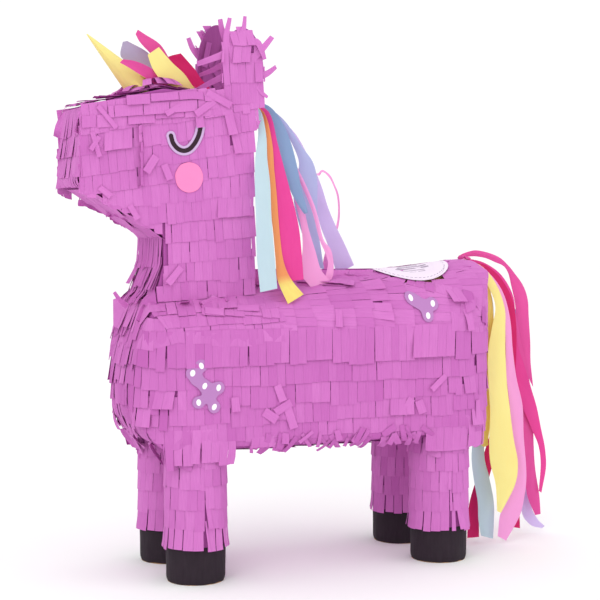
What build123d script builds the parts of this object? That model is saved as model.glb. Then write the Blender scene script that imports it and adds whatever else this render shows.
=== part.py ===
from build123d import *
import math
import os

os.makedirs("parts", exist_ok=True)

# A paper pinata in the shape of a standing unicorn. It faces -Y, its left side is +X,
# and its feet stand on Z = 0. Lengths are in millimetres.

# ---------------------------------------------------------------- driving dimensions
card = 2.0  # thickness of the cardboard
skin = 1.2  # pressed thickness of the glued tissue fringe
film = 0.3  # thickness of stickers and linings
ribbon_thick = 0.5

# barrel of the body
body_half = 71.0  # half the width over the cardboard
arch_foot_z = 216.0  # height where the flanks turn into the arch
belly_z = 118.0
belly_corner = 12.0
barrel_crowns = [(-215, 246), (23, 264), (140, 275), (180, 275)]  # Y and crown height
chest_curve = [(-164, 290), (-177, 244), (-184, 217), (-190, 180), (-189, 152), (-176, 128)]
rump_curve = [(141, 120), (147, 142), (149, 168), (153, 206), (153, 242), (148, 268), (136, 292)]
chest_core = (-130, 190)  # the curves grow away from these inner points
rump_core = (100, 200)
chest_y = -191.0
rump_y = 154.0
chest_corner = 45.0
rump_corner = 56.0
chest_cut = -160.0  # seam between the chest panel and the rest
rump_cut = 126.0

# head and neck
head_half = 40.0
head_outline = [
    (-232, 414), (-165, 429), (-110, 425), (-88, 416), (-88, 225), (-178, 225),
    (-172, 250), (-164, 278), (-164, 304), (-194, 323), (-212, 335), (-237.5, 350),
]
head_corner = 5.0
band_z = 405.0  # seam between forehead and muzzle bands
muzzle_cut = -225.0
crown_cut = -98.0
ear_half = 18.0
left_ear, left_ear_rise = (-92.0, 447.0), 37.0  # Y and Z of the centre, half the height
right_ear, right_ear_rise = (-90.0, 453.0), 42.0  # stands a little taller

# legs
leg_x = 43.5
leg_front_y = -138.0
leg_rear_y = 100.0
tube_r = 25.0
tube_wall = 1.6
tube_top = 150.0
hoof_height = 33.0
hoof_wall = 1.5

# horn
horn_base_y, horn_base_z = -167.0, 425.5
horn_tip_y, horn_tip_z = -222.0, 479.0
horn_r = 13.4
horn_wall = 0.8
horn_point_r = 0.6
horn_root = 15.0  # hidden length that is trimmed to the forehead

# filling flap, label and hanging hole
label_x, label_y = 17.0, 83.0
label_r = 39.0
flap_r = 30.7
flap_gap = 0.8
chord = 24.0  # distance from the flap's centre to its fold line
fold_gap = 0.3
cut_depth = 16.0
hang_y = 16.0  # just behind the fall of the mane, near the balance point
hang_r = 3.0
patch_half = 22.0
patch_thick = 3.0

# stickers and linings
eye_points = [(-158, 394), (-146, 377.5), (-132, 397)]  # Y and Z of the eye's curve
eye_line_width = 3.8
eye_patch_width = 8.0
cheek_y, cheek_z, cheek_r = -142.5, 354.0, 12.5
shoulder_dots = [(-148, 186), (-141, 193), (-138, 175), (-125, 173), (-143, 161), (-129, 156)]
hip_dots = [(61, 244), (81, 239), (74, 229)]  # Y and Z of the dots' centres
dot_half_width, dot_half_height = 2.4, 2.9
dot_margin = 2.2
lining_margin = 2.0
lining_foot_z = 435.0  # the ear lining ends here, above the head's outline

# gathered ends of mane and tail
mane_knot_centre, mane_knot_size, mane_knot_round = (0, -81.5, 413), (22, 9, 8), 2.0
tail_knot_centre, tail_knot_size, tail_knot_round = (0, 146, 278.5), (22, 10, 4), 1.0

leg_places = [(side * leg_x, y) for y in (leg_front_y, leg_rear_y) for side in (1, -1)]
leg_names = ["front_left", "front_right", "rear_left", "rear_right"]


def save(piece, label):
    piece.part.label = label
    export_step(piece.part, f"parts/{label}.step")


# ---------------------------------------------------------------- barrel helpers
def crown_at(y):
    """Height of the cardboard crown at y, straight between the barrel's stations."""
    for (y0, z0), (y1, z1) in zip(barrel_crowns, barrel_crowns[1:]):
        if y0 <= y <= y1:
            return z0 + (z1 - z0) * (y - y0) / (y1 - y0)
    return barrel_crowns[-1][1]


def arch_point(x, y, grow):
    """Point on the arch at x, y, on the cardboard grown outwards by grow."""
    half = body_half + grow
    rise = crown_at(y) + grow - arch_foot_z
    return Vector(x, y, arch_foot_z + rise * math.sqrt(1 - (x / half) ** 2))


def arch_frame(x, y, grow):
    """Plane that touches the arch at x, y, with its X downhill across the body."""
    step = 0.5
    across = arch_point(x + step, y, grow) - arch_point(x - step, y, grow)
    along = arch_point(x, y + step, grow) - arch_point(x, y - step, grow)
    return Plane(arch_point(x, y, grow), x_dir=across, z_dir=across.cross(along))


def swollen(points, core, grow):
    """Curve points moved by grow, straight away from a core point inside the curve."""
    moved = []
    for point in points:
        away = Vector(*point) - Vector(*core)
        moved.append(Vector(*point) + away.normalized() * grow)
    return moved


def barrel(grow):
    """The closed outer shape of the body, with every face moved outwards by grow."""
    half = body_half + grow
    with BuildPart() as block:
        for y, crown in barrel_crowns:
            with BuildSketch(Plane.XZ.offset(-y)) as section:
                with BuildLine():
                    rise = crown + grow - arch_foot_z
                    EllipticalCenterArc((0, arch_foot_z), half, rise, 0, arc_size=180)
                    Polyline(
                        (-half, arch_foot_z), (-half, belly_z - grow),
                        (half, belly_z - grow), (half, arch_foot_z),
                    )
                make_face()
                fillet(section.vertices().group_by(Axis.Y)[0], belly_corner + grow)
        loft(ruled=True)
        with BuildSketch(Plane.YZ):
            with BuildLine():
                front = Spline(*swollen(chest_curve, chest_core, grow))
                back = Spline(*swollen(rump_curve, rump_core, grow))
                Line(front @ 0, back @ 1)
                Polyline(front @ 1, (-158, belly_z - 4), (118, belly_z - 4), back @ 0)
            make_face()
        extrude(amount=2 * body_half, both=True, mode=Mode.INTERSECT)
        with BuildSketch() as plan:
            with Locations((0, (chest_y + rump_y) / 2)):
                Rectangle(2 * half, rump_y - chest_y + 2 * grow)
            fillet(plan.vertices().group_by(Axis.Y)[0], chest_corner + grow)
            fillet(plan.vertices().group_by(Axis.Y)[-1], rump_corner + grow)
        extrude(amount=2 * arch_foot_z, mode=Mode.INTERSECT)
    return block.part


def region(low, high):
    """Block between two opposite corners, used to part the shells at their seams."""
    size = [b - a for a, b in zip(low, high)]
    middle = tuple((a + b) / 2 for a, b in zip(low, high))
    with Locations(middle):
        Box(*size, mode=Mode.INTERSECT)


# ---------------------------------------------------------------- head helpers
def head_block(grow, half):
    """Solid of the head and neck outline, without ears."""
    with BuildPart() as block:
        with BuildSketch(Plane.YZ) as side:
            with BuildLine():
                Polyline(*head_outline, close=True)
            make_face()
            fillet(side.vertices(), head_corner)
            if grow != 0:
                offset(amount=grow, mode=Mode.REPLACE)
        extrude(amount=half, both=True)
    return block.part


def ear_block(side, grow, inner, outer):
    """One ear blank between inner and outer distances from the middle plane."""
    centre, rise = (left_ear, left_ear_rise) if side > 0 else (right_ear, right_ear_rise)
    with BuildPart() as block:
        with BuildSketch(Plane.YZ.offset(side * inner)):
            with Locations(centre):
                Ellipse(ear_half + grow, rise + grow)
        extrude(amount=side * (outer - inner))
    return block.part


def leg_rods(radius, low, high):
    """Four upright rods at the legs."""
    with BuildPart() as rods:
        with BuildSketch(Plane.XY.offset(low)):
            with Locations(*leg_places):
                Circle(radius)
        extrude(amount=high - low)
    return rods.part


barrel_outer = barrel(0)
barrel_inner = barrel(-card)
barrel_skin = barrel(skin)
head_outer = head_block(0, head_half)
head_inner_width = head_half - card
leg_solid = leg_rods(tube_r, 0, tube_top)

# ---------------------------------------------------------------- filling flap outline
label_plane = arch_frame(label_x, label_y, skin)


def flap_tool(radius, edge):
    """Round cutter across the arch, flat along the fold line."""
    with BuildPart() as tool:
        with BuildSketch(label_plane):
            Circle(radius)
            with Locations((-edge - radius, 0)):
                Rectangle(2 * radius, 2 * radius, mode=Mode.SUBTRACT)
        extrude(amount=cut_depth, both=True)
    return tool.part


def label_tool():
    """Round cutter of the whole label."""
    with BuildPart() as tool:
        with BuildSketch(label_plane):
            Circle(label_r)
        extrude(amount=cut_depth, both=True)
    return tool.part


flap_cut = flap_tool(flap_r, chord)
hole_cut = flap_tool(flap_r + flap_gap, chord + fold_gap)
label_cut = label_tool()

# ---------------------------------------------------------------- body panels
with BuildPart() as body_shell:
    add(barrel_outer)
    add(barrel_inner, mode=Mode.SUBTRACT)
    add(leg_solid, mode=Mode.SUBTRACT)

far = 400.0

with BuildPart() as chest_panel:
    add(body_shell.part)
    region((-far, -far, 0), (far, chest_cut, far))
save(chest_panel, "chest_panel")

with BuildPart() as rump_panel:
    add(body_shell.part)
    region((-far, rump_cut, 0), (far, far, far))
save(rump_panel, "rump_panel")

side_foot_z = belly_z + belly_corner

with BuildPart() as belly_panel:
    add(body_shell.part)
    region((-far, chest_cut, 0), (far, rump_cut, side_foot_z))
save(belly_panel, "belly_panel")

with BuildPart() as torso_left_side:
    add(body_shell.part)
    region((0, chest_cut, side_foot_z), (far, rump_cut, arch_foot_z))
save(torso_left_side, "torso_left_side")

with BuildPart() as torso_right_side:
    add(body_shell.part)
    region((-far, chest_cut, side_foot_z), (0, rump_cut, arch_foot_z))
save(torso_right_side, "torso_right_side")

with BuildPart() as back_arch:
    add(body_shell.part)
    region((-far, chest_cut, arch_foot_z), (far, rump_cut, far))
    add(hole_cut, mode=Mode.SUBTRACT)
    with Locations((0, hang_y, crown_at(hang_y))):
        Cylinder(hang_r, cut_depth, mode=Mode.SUBTRACT)
save(back_arch, "back_arch")

with BuildPart() as hang_plate:
    add(barrel_inner)
    add(barrel(-card - patch_thick), mode=Mode.SUBTRACT)
    region((-patch_half, hang_y - patch_half, arch_foot_z), (patch_half, hang_y + patch_half, far))
    with Locations((0, hang_y, crown_at(hang_y))):
        Cylinder(hang_r, 2 * cut_depth, mode=Mode.SUBTRACT)
save(hang_plate, "hang_plate")

with BuildPart() as fill_flap:
    add(barrel_outer)
    add(barrel_inner, mode=Mode.SUBTRACT)
    add(flap_cut, mode=Mode.INTERSECT)
save(fill_flap, "fill_flap")

# ---------------------------------------------------------------- label
with BuildPart() as tissue_shell:
    add(barrel_skin)
    add(barrel_outer, mode=Mode.SUBTRACT)

with BuildPart() as label_ring:
    add(tissue_shell.part)
    add(label_cut, mode=Mode.INTERSECT)
    add(hole_cut, mode=Mode.SUBTRACT)
save(label_ring, "label_ring")

with BuildPart() as label_disc:
    add(tissue_shell.part)
    add(flap_cut, mode=Mode.INTERSECT)
save(label_disc, "label_disc")

# ---------------------------------------------------------------- head panels
for side_name, side in (("left", 1), ("right", -1)):
    with BuildPart() as head_panel:
        add(head_outer)
        region((head_inner_width, -far, 0), (head_half, far, 2 * far))
        add(barrel_outer, mode=Mode.SUBTRACT)
        if side < 0:
            mirror(about=Plane.YZ, mode=Mode.REPLACE)
        add(ear_block(side, 0, head_inner_width, head_half))
    save(head_panel, f"head_{side_name}_panel")

# ---------------------------------------------------------------- head bands
with BuildPart() as head_ring:
    add(head_block(0, head_inner_width))
    add(head_block(-card, head_inner_width), mode=Mode.SUBTRACT)
    add(barrel_outer, mode=Mode.SUBTRACT)

band_regions = {
    "forehead_band": ((-far, -far, band_z), (far, crown_cut, 2 * far)),
    "muzzle_band": ((-far, -far, 0), (far, muzzle_cut, band_z)),
    "throat_band": ((-far, muzzle_cut, 0), (far, crown_cut - 30, band_z)),
    "nape_band": ((-far, crown_cut, 0), (far, far, 2 * far)),
}
for band_name, (low, high) in band_regions.items():
    with BuildPart() as band:
        add(head_ring.part)
        region(low, high)
    save(band, band_name)

# ---------------------------------------------------------------- legs and hooves
for place, leg_name in zip(leg_places, leg_names):
    with BuildPart() as leg_tube:
        with BuildSketch(Plane.XY.offset(card)):
            with Locations(place):
                Circle(tube_r)
                Circle(tube_r - tube_wall, mode=Mode.SUBTRACT)
        extrude(amount=tube_top - card)
    save(leg_tube, f"leg_tube_{leg_name}")

with BuildPart() as leg_soles:
    with BuildSketch():
        with Locations(*leg_places):
            Circle(tube_r)
    extrude(amount=card)
save(leg_soles, "leg_soles")

with BuildPart() as hoof_wraps:
    with BuildSketch():
        with Locations(*leg_places):
            Circle(tube_r + hoof_wall)
            Circle(tube_r, mode=Mode.SUBTRACT)
    extrude(amount=hoof_height)
    outer_rims = hoof_wraps.edges().filter_by(GeomType.CIRCLE).group_by(Axis.Z)[0]
    chamfer(outer_rims.sort_by(SortBy.RADIUS)[4:], hoof_wall / 2)
save(hoof_wraps, "hoof_wraps")

# ---------------------------------------------------------------- tissue fringe
with BuildPart() as leg_fringe:
    with BuildSketch(Plane.XY.offset(hoof_height)):
        with Locations(*leg_places):
            Circle(tube_r + skin)
            Circle(tube_r, mode=Mode.SUBTRACT)
    extrude(amount=tube_top - hoof_height)
    add(barrel_skin, mode=Mode.SUBTRACT)
save(leg_fringe, "leg_fringe")

horn_rise = Vector(0, horn_tip_y - horn_base_y, horn_tip_z - horn_base_z)
horn_axis = horn_rise.normalized()
horn_length = horn_rise.length
horn_start = Vector(0, horn_base_y, horn_base_z) - horn_axis * horn_root
horn_slope = horn_r / horn_length
horn_plane = Plane(horn_start, x_dir=(1, 0, 0), z_dir=horn_axis)


def horn_cone(inset):
    """Solid cone of the horn, from its hidden root to the tip, drawn in by inset."""
    with BuildPart() as cone:
        with BuildSketch(horn_plane):
            Circle(horn_r + horn_slope * horn_root - inset)
        with BuildSketch(horn_plane.offset(horn_root + horn_length - inset / horn_slope)):
            Circle(horn_point_r)
        loft(ruled=True)
    return cone.part


with BuildPart() as horn:
    add(horn_cone(0))
    add(horn_cone(horn_wall), mode=Mode.SUBTRACT)
    add(head_outer, mode=Mode.SUBTRACT)
save(horn, "horn")

with BuildPart() as head_fringe:
    add(head_block(skin, head_half + skin))
    for side in (1, -1):
        add(ear_block(side, skin, head_inner_width, head_half + skin))
    add(head_outer, mode=Mode.SUBTRACT)
    for side in (1, -1):
        add(ear_block(side, 0, head_inner_width, head_half), mode=Mode.SUBTRACT)
    add(horn_cone(0), mode=Mode.SUBTRACT)
    add(barrel_skin, mode=Mode.SUBTRACT)
save(head_fringe, "head_fringe")

with BuildPart() as torso_tissue:
    add(tissue_shell.part)
    add(head_outer, mode=Mode.SUBTRACT)
    add(leg_solid, mode=Mode.SUBTRACT)
    add(label_cut, mode=Mode.SUBTRACT)
    with Locations((0, hang_y, crown_at(hang_y))):
        Cylinder(2 * hang_r, cut_depth, mode=Mode.SUBTRACT)

fringe_regions = {
    "chest_fringe": ((-far, -far, 0), (far, chest_cut, far)),
    "barrel_fringe": ((-far, chest_cut, 0), (far, rump_cut, far)),
    "rump_fringe": ((-far, rump_cut, 0), (far, far, far)),
}
for fringe_name, (low, high) in fringe_regions.items():
    with BuildPart() as fringe:
        add(torso_tissue.part)
        region(low, high)
    save(fringe, fringe_name)

with BuildPart() as ear_lining:
    for side in (1, -1):
        add(ear_block(side, -lining_margin, head_inner_width - film, head_inner_width))
    region((-head_half, -far, lining_foot_z), (head_half, far, 2 * far))
save(ear_lining, "ear_lining")

# ---------------------------------------------------------------- stickers
face_x = head_half + skin


def eye_piece(level, line_width):
    """Sleeping eye: one curved stroke on each side of the face."""
    with BuildPart() as eye:
        with BuildSketch(Plane.YZ.offset(face_x + level)):
            with BuildLine(mode=Mode.PRIVATE) as lash:
                ThreePointArc(*eye_points)
            SlotArc(lash.edge(), line_width)
        extrude(amount=film)
        mirror(about=Plane.YZ)
    return eye


save(eye_piece(0, eye_patch_width), "eye_patches")
save(eye_piece(film, eye_line_width), "eye_lines")

with BuildPart() as cheek_dots:
    with BuildSketch(Plane.YZ.offset(face_x)):
        with Locations((cheek_y, cheek_z)):
            Circle(cheek_r)
    extrude(amount=film)
    mirror(about=Plane.YZ)
save(cheek_dots, "cheek_dots")


def dot_planes(level):
    """Planes of the dots: upright on the shoulder, leaning with the arch on the hip."""
    planes = []
    for y, z in shoulder_dots:
        origin = (body_half + skin + level, y, z)
        planes.append(Plane(origin, x_dir=(0, 1, 0), z_dir=(1, 0, 0)))
    for y, z in hip_dots:
        rise = crown_at(y) + skin - arch_foot_z
        x = (body_half + skin) * math.sqrt(1 - ((z - arch_foot_z) / rise) ** 2)
        touch = arch_frame(x, y, skin)
        planes.append(touch.offset(level + film / 2))
    return planes


for node_name, level, grow in (("dot_patches", 0, dot_margin), ("dot_ovals", film, 0)):
    with BuildPart() as dots:
        for plane in dot_planes(level):
            with BuildSketch(plane):
                Ellipse(dot_half_width + grow, dot_half_height + grow)
        extrude(amount=film)
        mirror(about=Plane.YZ)
    save(dots, node_name)

# ---------------------------------------------------------------- tissue ribbons
# Each route runs from the glued end to the free end: X, Y, Z and the ribbon's width there.
mane_routes = {
    "mane_mint": [
        (9, -82, 420, 5), (30, -74, 405, 7), (44, -74, 362, 13), (56, -77, 321, 14), (65, -77, 256, 15)],
    "mane_orange": [
        (7.5, -80, 421, 5), (24, -66, 408, 6), (38, -63, 370, 9), (50, -65, 321, 9), (61, -56, 250, 13)],
    "mane_hot_pink": [
        (6, -78, 422, 5), (16, -62, 413, 6), (30, -56, 370, 9), (44, -52, 321, 16), (55, -50, 264, 18)],
    "mane_blue_grey": [
        (4.5, -76, 423, 5), (7, -57, 420, 8), (14, -44, 385, 16),
        (22, -36, 347, 17), (30, -26, 322, 12)],
    "mane_pale_pink": [
        (3, -74, 424, 5), (3, -52, 417, 8), (6, -33, 369, 13), (10, -22, 325, 14), (20, -20, 280, 15)],
    "mane_lilac_blue": [
        (1.5, -72, 425, 5), (-3, -49, 419, 8), (0, -30, 386, 15), (2, -15, 337, 16), (4, -5, 279, 10)],
    "mane_lilac": [
        (-1.5, -72, 425, 5), (-13, -44, 419, 8), (-15, -19, 386, 15),
        (-17, 10, 312, 16), (-20, 27, 282, 15)],
    "mane_loop": [
        (-4.5, -74, 425, 5), (-24, -40, 420, 7), (-26, -2, 372, 8),
        (-28, 22, 330, 8), (-30, 14, 282, 8)],
}
forelock_routes = {
    "forelock_grey": [(-4, -152, 435, 5), (-5, -168, 450, 10), (-5, -190, 466, 12)],
    "forelock_pink": [(17, -160, 434, 5), (22, -182, 445, 7), (26, -200, 453, 7)],
    "forelock_rose": [(3, -150, 436, 5), (5, -158, 460, 9), (5, -177, 479, 9)],
    "forelock_yellow": [(14, -136, 434, 5), (18, -146, 452, 9), (20, -165, 463, 9)],
    "forelock_crimson": [(-8, -129, 434, 5), (-10, -127, 448, 7), (-10, -141, 461, 8)],
}
tail_routes = {
    "tail_yellow": [
        (9, 153, 283, 5), (18, 173, 264, 7), (20, 177, 200, 14), (20, 177, 116, 16), (20, 183, 40, 16)],
    "tail_light_pink": [
        (7, 153, 284, 5), (13, 176, 264, 7), (14, 192, 181, 10), (14, 201, 113, 12), (14, 206, 62, 9)],
    "tail_mint": [
        (5, 153, 283, 5), (8, 174, 264, 6), (9, 178, 200, 8),
        (8, 170, 130, 12), (8, 168, 45, 14), (8, 171, 12, 9)],
    "tail_orange": [
        (3, 153, 284, 5), (3, 175, 266, 6), (2, 178, 230, 7), (2, 175, 176, 8), (2, 169, 106, 8)],
    "tail_crimson": [
        (1, 153, 283, 5), (-3, 174, 270, 8), (-4, 198, 238, 12),
        (-4, 208, 170, 15), (-4, 216, 110, 14), (-4, 231, 28, 10)],
    "tail_hot_pink": [
        (-1, 153, 284, 5), (-9, 180, 270, 8), (-10, 204, 238, 12),
        (-10, 214, 186, 15), (-10, 232, 130, 14), (-10, 238, 50, 10)],
    "tail_magenta": [
        (-3, 153, 285, 5), (-14, 172, 282, 7), (-16, 194, 270, 9),
        (-16, 213, 246, 11), (-16, 224, 210, 12), (-16, 233, 146, 9)],
    "tail_lilac": [
        (-5, 153, 283, 5), (-20, 174, 270, 7), (-22, 202, 246, 9),
        (-22, 219, 187, 10), (-22, 225, 106, 10), (-22, 239, 12, 9)],
}


def ribbon(route):
    """Flat strip of tissue lofted straight from station to station, facing sideways."""
    points = [Vector(x, y, z) for x, y, z, width in route]
    with BuildPart() as strip:
        for i, (x, y, z, width) in enumerate(route):
            ahead = points[min(i + 1, len(points) - 1)] - points[max(i - 1, 0)]
            across = ahead.cross(Vector(1, 0, 0))
            with BuildSketch(Plane(points[i], x_dir=across, z_dir=ahead)):
                Rectangle(width, ribbon_thick)
        loft(ruled=True)
    return strip


for routes in (mane_routes, forelock_routes, tail_routes):
    for ribbon_name, route in routes.items():
        save(ribbon(route), ribbon_name)

# The gathered ends of mane and tail: small pads of folded tissue that hold the strips.
with BuildPart() as mane_knot:
    with Locations(mane_knot_centre):
        Box(*mane_knot_size)
    fillet(mane_knot.edges(), mane_knot_round)
save(mane_knot, "mane_knot")

with BuildPart() as tail_knot:
    with Locations(tail_knot_centre):
        Box(*tail_knot_size)
    fillet(tail_knot.edges(), tail_knot_round)
save(tail_knot, "tail_knot")

# ---------------------------------------------------------------- places for the joints
fold_start = label_plane.from_local_coords(Vector(-chord - fold_gap / 2, 0, 0))
fold_point = arch_point(fold_start.X, fold_start.Y, skin)
fold_ahead = arch_point(fold_start.X, fold_start.Y + 1, skin) - fold_point
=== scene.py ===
import bisect
import math
import random

import bpy
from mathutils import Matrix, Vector
from mathutils.bvhtree import BVHTree
from mathutils.noise import noise


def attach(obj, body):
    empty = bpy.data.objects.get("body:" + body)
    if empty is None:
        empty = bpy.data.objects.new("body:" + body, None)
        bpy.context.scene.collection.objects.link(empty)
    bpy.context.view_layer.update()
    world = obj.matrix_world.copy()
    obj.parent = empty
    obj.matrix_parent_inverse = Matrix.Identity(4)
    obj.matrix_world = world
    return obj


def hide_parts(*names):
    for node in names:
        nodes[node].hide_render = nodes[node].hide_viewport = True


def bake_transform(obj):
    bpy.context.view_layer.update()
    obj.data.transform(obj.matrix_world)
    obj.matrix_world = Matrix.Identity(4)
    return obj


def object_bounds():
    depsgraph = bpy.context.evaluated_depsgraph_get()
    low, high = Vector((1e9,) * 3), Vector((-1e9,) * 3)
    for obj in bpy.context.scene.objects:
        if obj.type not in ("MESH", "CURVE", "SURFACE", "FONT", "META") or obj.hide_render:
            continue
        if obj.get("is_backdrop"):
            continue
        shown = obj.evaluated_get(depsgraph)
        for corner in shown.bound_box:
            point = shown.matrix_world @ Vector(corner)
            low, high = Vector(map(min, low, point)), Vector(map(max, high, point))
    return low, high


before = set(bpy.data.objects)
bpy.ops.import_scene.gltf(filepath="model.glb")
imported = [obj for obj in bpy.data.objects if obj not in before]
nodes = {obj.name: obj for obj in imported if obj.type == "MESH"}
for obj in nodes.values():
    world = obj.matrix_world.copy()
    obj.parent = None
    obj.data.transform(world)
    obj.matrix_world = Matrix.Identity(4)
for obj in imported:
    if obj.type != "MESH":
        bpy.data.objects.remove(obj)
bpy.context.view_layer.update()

# Shapes are worked out in millimetres and made in metres. The unicorn faces -Y,
# its left side is +X, and it stands on Z = 0.
MM = 0.001


# ---- colours and materials
def tone(red, green, blue):
    """Linear colour from ordinary screen values of 0 to 255."""
    linear = []
    for value in (red, green, blue):
        share = value / 255
        linear.append(share / 12.92 if share <= 0.04045 else ((share + 0.055) / 1.055) ** 2.4)
    return (*linear, 1.0)


class Nodes:
    """Short hand for building one material's node tree."""

    def __init__(self, name):
        self.material = bpy.data.materials.new(name)
        self.material.use_nodes = True
        self.tree = self.material.node_tree
        self.tree.nodes.clear()
        self.output = self.tree.nodes.new("ShaderNodeOutputMaterial")

    def add(self, kind, values=None, **settings):
        """A new node; values holds numbers, colours or other nodes' outputs for its inputs."""
        node = self.tree.nodes.new(kind)
        for key, value in settings.items():
            setattr(node, key, value)
        for key, value in (values or {}).items():
            if isinstance(value, bpy.types.NodeSocket):
                self.tree.links.new(value, node.inputs[key])
            else:
                node.inputs[key].default_value = value
        return node

    def noise(self, coordinates, scale, detail=3.0, rough=0.55):
        values = {"Vector": coordinates, "Scale": scale, "Detail": detail, "Roughness": rough}
        return self.add("ShaderNodeTexNoise", values).outputs["Fac"]

    def stretch(self, source, scale):
        return self.add("ShaderNodeMapping", {"Vector": source, "Scale": scale}).outputs["Vector"]

    def spread(self, value, low, high, new_low=0.0, new_high=1.0):
        values = {"Value": value, "From Min": low, "From Max": high,
                  "To Min": new_low, "To Max": new_high}
        return self.add("ShaderNodeMapRange", values).outputs["Result"]

    def blend(self, share, first, second):
        values = {"Factor": share, "A": first, "B": second}
        return self.add("ShaderNodeMix", values, data_type="RGBA").outputs["Result"]

    def bump(self, height, strength, distance):
        values = {"Height": height, "Strength": strength, "Distance": distance}
        return self.add("ShaderNodeBump", values).outputs["Normal"]

    def finish(self, shader):
        """Joins the last shader to the output."""
        self.tree.links.new(shader, self.output.inputs["Surface"])
        return self.material


def paper(name, base, deep, crepe=1.0, glow=0.18, rough=0.82, grain=(900, 70), depth=0.0004):
    """Thin paper: two tones mixed by a per-tab tint and by blotches, fine crepe lines
    along the length, and some light that comes through from behind."""
    kit = Nodes(name)
    base, deep = tone(*base), tone(*deep)
    place = kit.add("ShaderNodeUVMap", uv_map="paper").outputs["UV"]
    solid = kit.add("ShaderNodeTexCoord").outputs["Object"]
    tint = kit.add("ShaderNodeAttribute", attribute_name="tint").outputs["Fac"]
    lines = kit.noise(kit.stretch(place, (*grain, 1)), 1.0, 4.0, 0.6)
    blotch = kit.noise(solid, 22.0)
    tinted = kit.blend(tint, base, deep)
    lined = kit.blend(kit.spread(lines, 0.3, 0.72, 0.0, 0.34 * crepe), tinted, deep)
    colour = kit.blend(kit.spread(blotch, 0.35, 0.7, 0.0, 0.22), lined, deep)
    shader = kit.add("ShaderNodeBsdfPrincipled", {
        "Base Color": colour, "Specular IOR Level": 0.25, "Normal": kit.bump(lines, 0.55 * crepe, depth),
        "Roughness": kit.spread(lines, 0.25, 0.75, rough - 0.09, rough + 0.09),
    }).outputs["BSDF"]
    if glow == 0:
        return kit.finish(shader)
    through = kit.add("ShaderNodeBsdfTranslucent", {"Color": colour}).outputs["BSDF"]
    mix = kit.add("ShaderNodeMixShader", {"Fac": glow, 1: shader, 2: through})
    return kit.finish(mix.outputs["Shader"])


def card_board(name):
    """Brown kraft card with fibres, specks and a faint flute line."""
    kit = Nodes(name)
    solid = kit.add("ShaderNodeTexCoord").outputs["Object"]
    fibres = kit.noise(kit.stretch(solid, (400, 400, 60)), 1.0, 5.0, 0.65)
    specks = kit.noise(solid, 900.0, 2.0, 0.5)
    flute = kit.add("ShaderNodeTexWave", {"Vector": solid, "Scale": 60.0, "Distortion": 0.6},
                    wave_type="BANDS", bands_direction="Y").outputs["Color"]
    base = kit.blend(kit.spread(fibres, 0.3, 0.7), tone(186, 148, 106), tone(150, 113, 76))
    colour = kit.blend(kit.spread(specks, 0.62, 0.75, 0.0, 0.5), base, tone(104, 76, 50))
    ridges = kit.blend(kit.spread(fibres, 0, 1, 0.2, 0.5), flute, fibres)
    shader = kit.add("ShaderNodeBsdfPrincipled", {
        "Base Color": colour, "Specular IOR Level": 0.2, "Normal": kit.bump(ridges, 0.25, 0.0004),
        "Roughness": kit.spread(fibres, 0.3, 0.7, 0.78, 0.95),
    })
    return kit.finish(shader.outputs["BSDF"])


tissue = paper("purple_tissue", (228, 137, 215), (199, 101, 186))
# Darker copy of the tissue for the underlay: painted shade in the cuts and gaps between tabs, where
# little light reaches.
tissue_painted_shade = paper("purple_tissue_under", (176, 84, 164), (146, 64, 136), glow=0.0)
card = card_board("kraft_card")

# ---- meshes of thin paper
PAPER = 0.12  # thickness of tissue


def add_object(name, data):
    """A new object in the scene."""
    piece = bpy.data.objects.new(name, data)
    bpy.context.scene.collection.objects.link(piece)
    return piece


def cos_sin(angle):
    """Direction in a plane, as cosine and sine; the angle is in radians."""
    return math.cos(angle), math.sin(angle)


def round_way(degrees):
    """The same for an angle in degrees."""
    return cos_sin(math.radians(degrees))


def clamp(value, low=0, high=1):
    return min(max(value, low), high)


def settle(piece):
    """Makes the modifiers part of the mesh."""
    graph = bpy.context.evaluated_depsgraph_get()
    mesh = bpy.data.meshes.new_from_object(piece.evaluated_get(graph))
    piece.modifiers.clear()
    piece.data = mesh


class Cloth:
    """Thin pieces of paper gathered into one mesh, in millimetres."""

    def __init__(self):
        self.points, self.faces, self.uvs, self.tints = [], [], [], []

    def grid(self, columns, width, length, tint, shift=(0, 0)):
        """A strip given as columns of points; width and length scale its UV map."""
        first = len(self.points)
        rows = len(columns[0])
        for j, column in enumerate(columns):
            for i, spot in enumerate(column):
                self.points.append(spot)
                u = (shift[0] + width * j / (len(columns) - 1)) * MM
                v = (shift[1] + length * i / (rows - 1)) * MM
                self.uvs.append((u, v))
                self.tints.append(tint)
        for j in range(len(columns) - 1):
            for i in range(rows - 1):
                a = first + j * rows + i
                self.faces.append((a, a + 1, a + rows + 1, a + rows))

    def weave(self, place, across, along, width, length, tint, shift=(0, 0)):
        """A strip whose points are place(j, i), with j across it and i along it."""
        columns = [[place(j, i) for i in range(along)] for j in range(across)]
        self.grid(columns, width, length, tint, shift)

    def build(self, name, material, thick=PAPER):
        mesh = bpy.data.meshes.new(name)
        mesh.from_pydata([Vector(p) * MM for p in self.points], [], self.faces)
        layer = mesh.uv_layers.new(name="paper")
        for loop in mesh.loops:
            layer.data[loop.index].uv = self.uvs[loop.vertex_index]
        tint = mesh.attributes.new("tint", "FLOAT", "POINT")
        tint.data.foreach_set("value", self.tints)
        for face in mesh.polygons:
            face.use_smooth = True
        mesh.materials.append(material)
        piece = add_object(name, mesh)
        solid = piece.modifiers.new("thickness", "SOLIDIFY")
        solid.thickness = thick * MM
        solid.offset = 0.0
        settle(piece)
        piece.data.set_sharp_from_angle(angle=math.radians(50))
        return piece


# ---- the surface under the fringe
skins = ["head_fringe", "chest_fringe", "barrel_fringe", "rump_fringe", "leg_fringe"]
backing = skins + ["hoof_wraps", "label_ring", "label_disc", "head_left_panel", "head_right_panel"]


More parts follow.
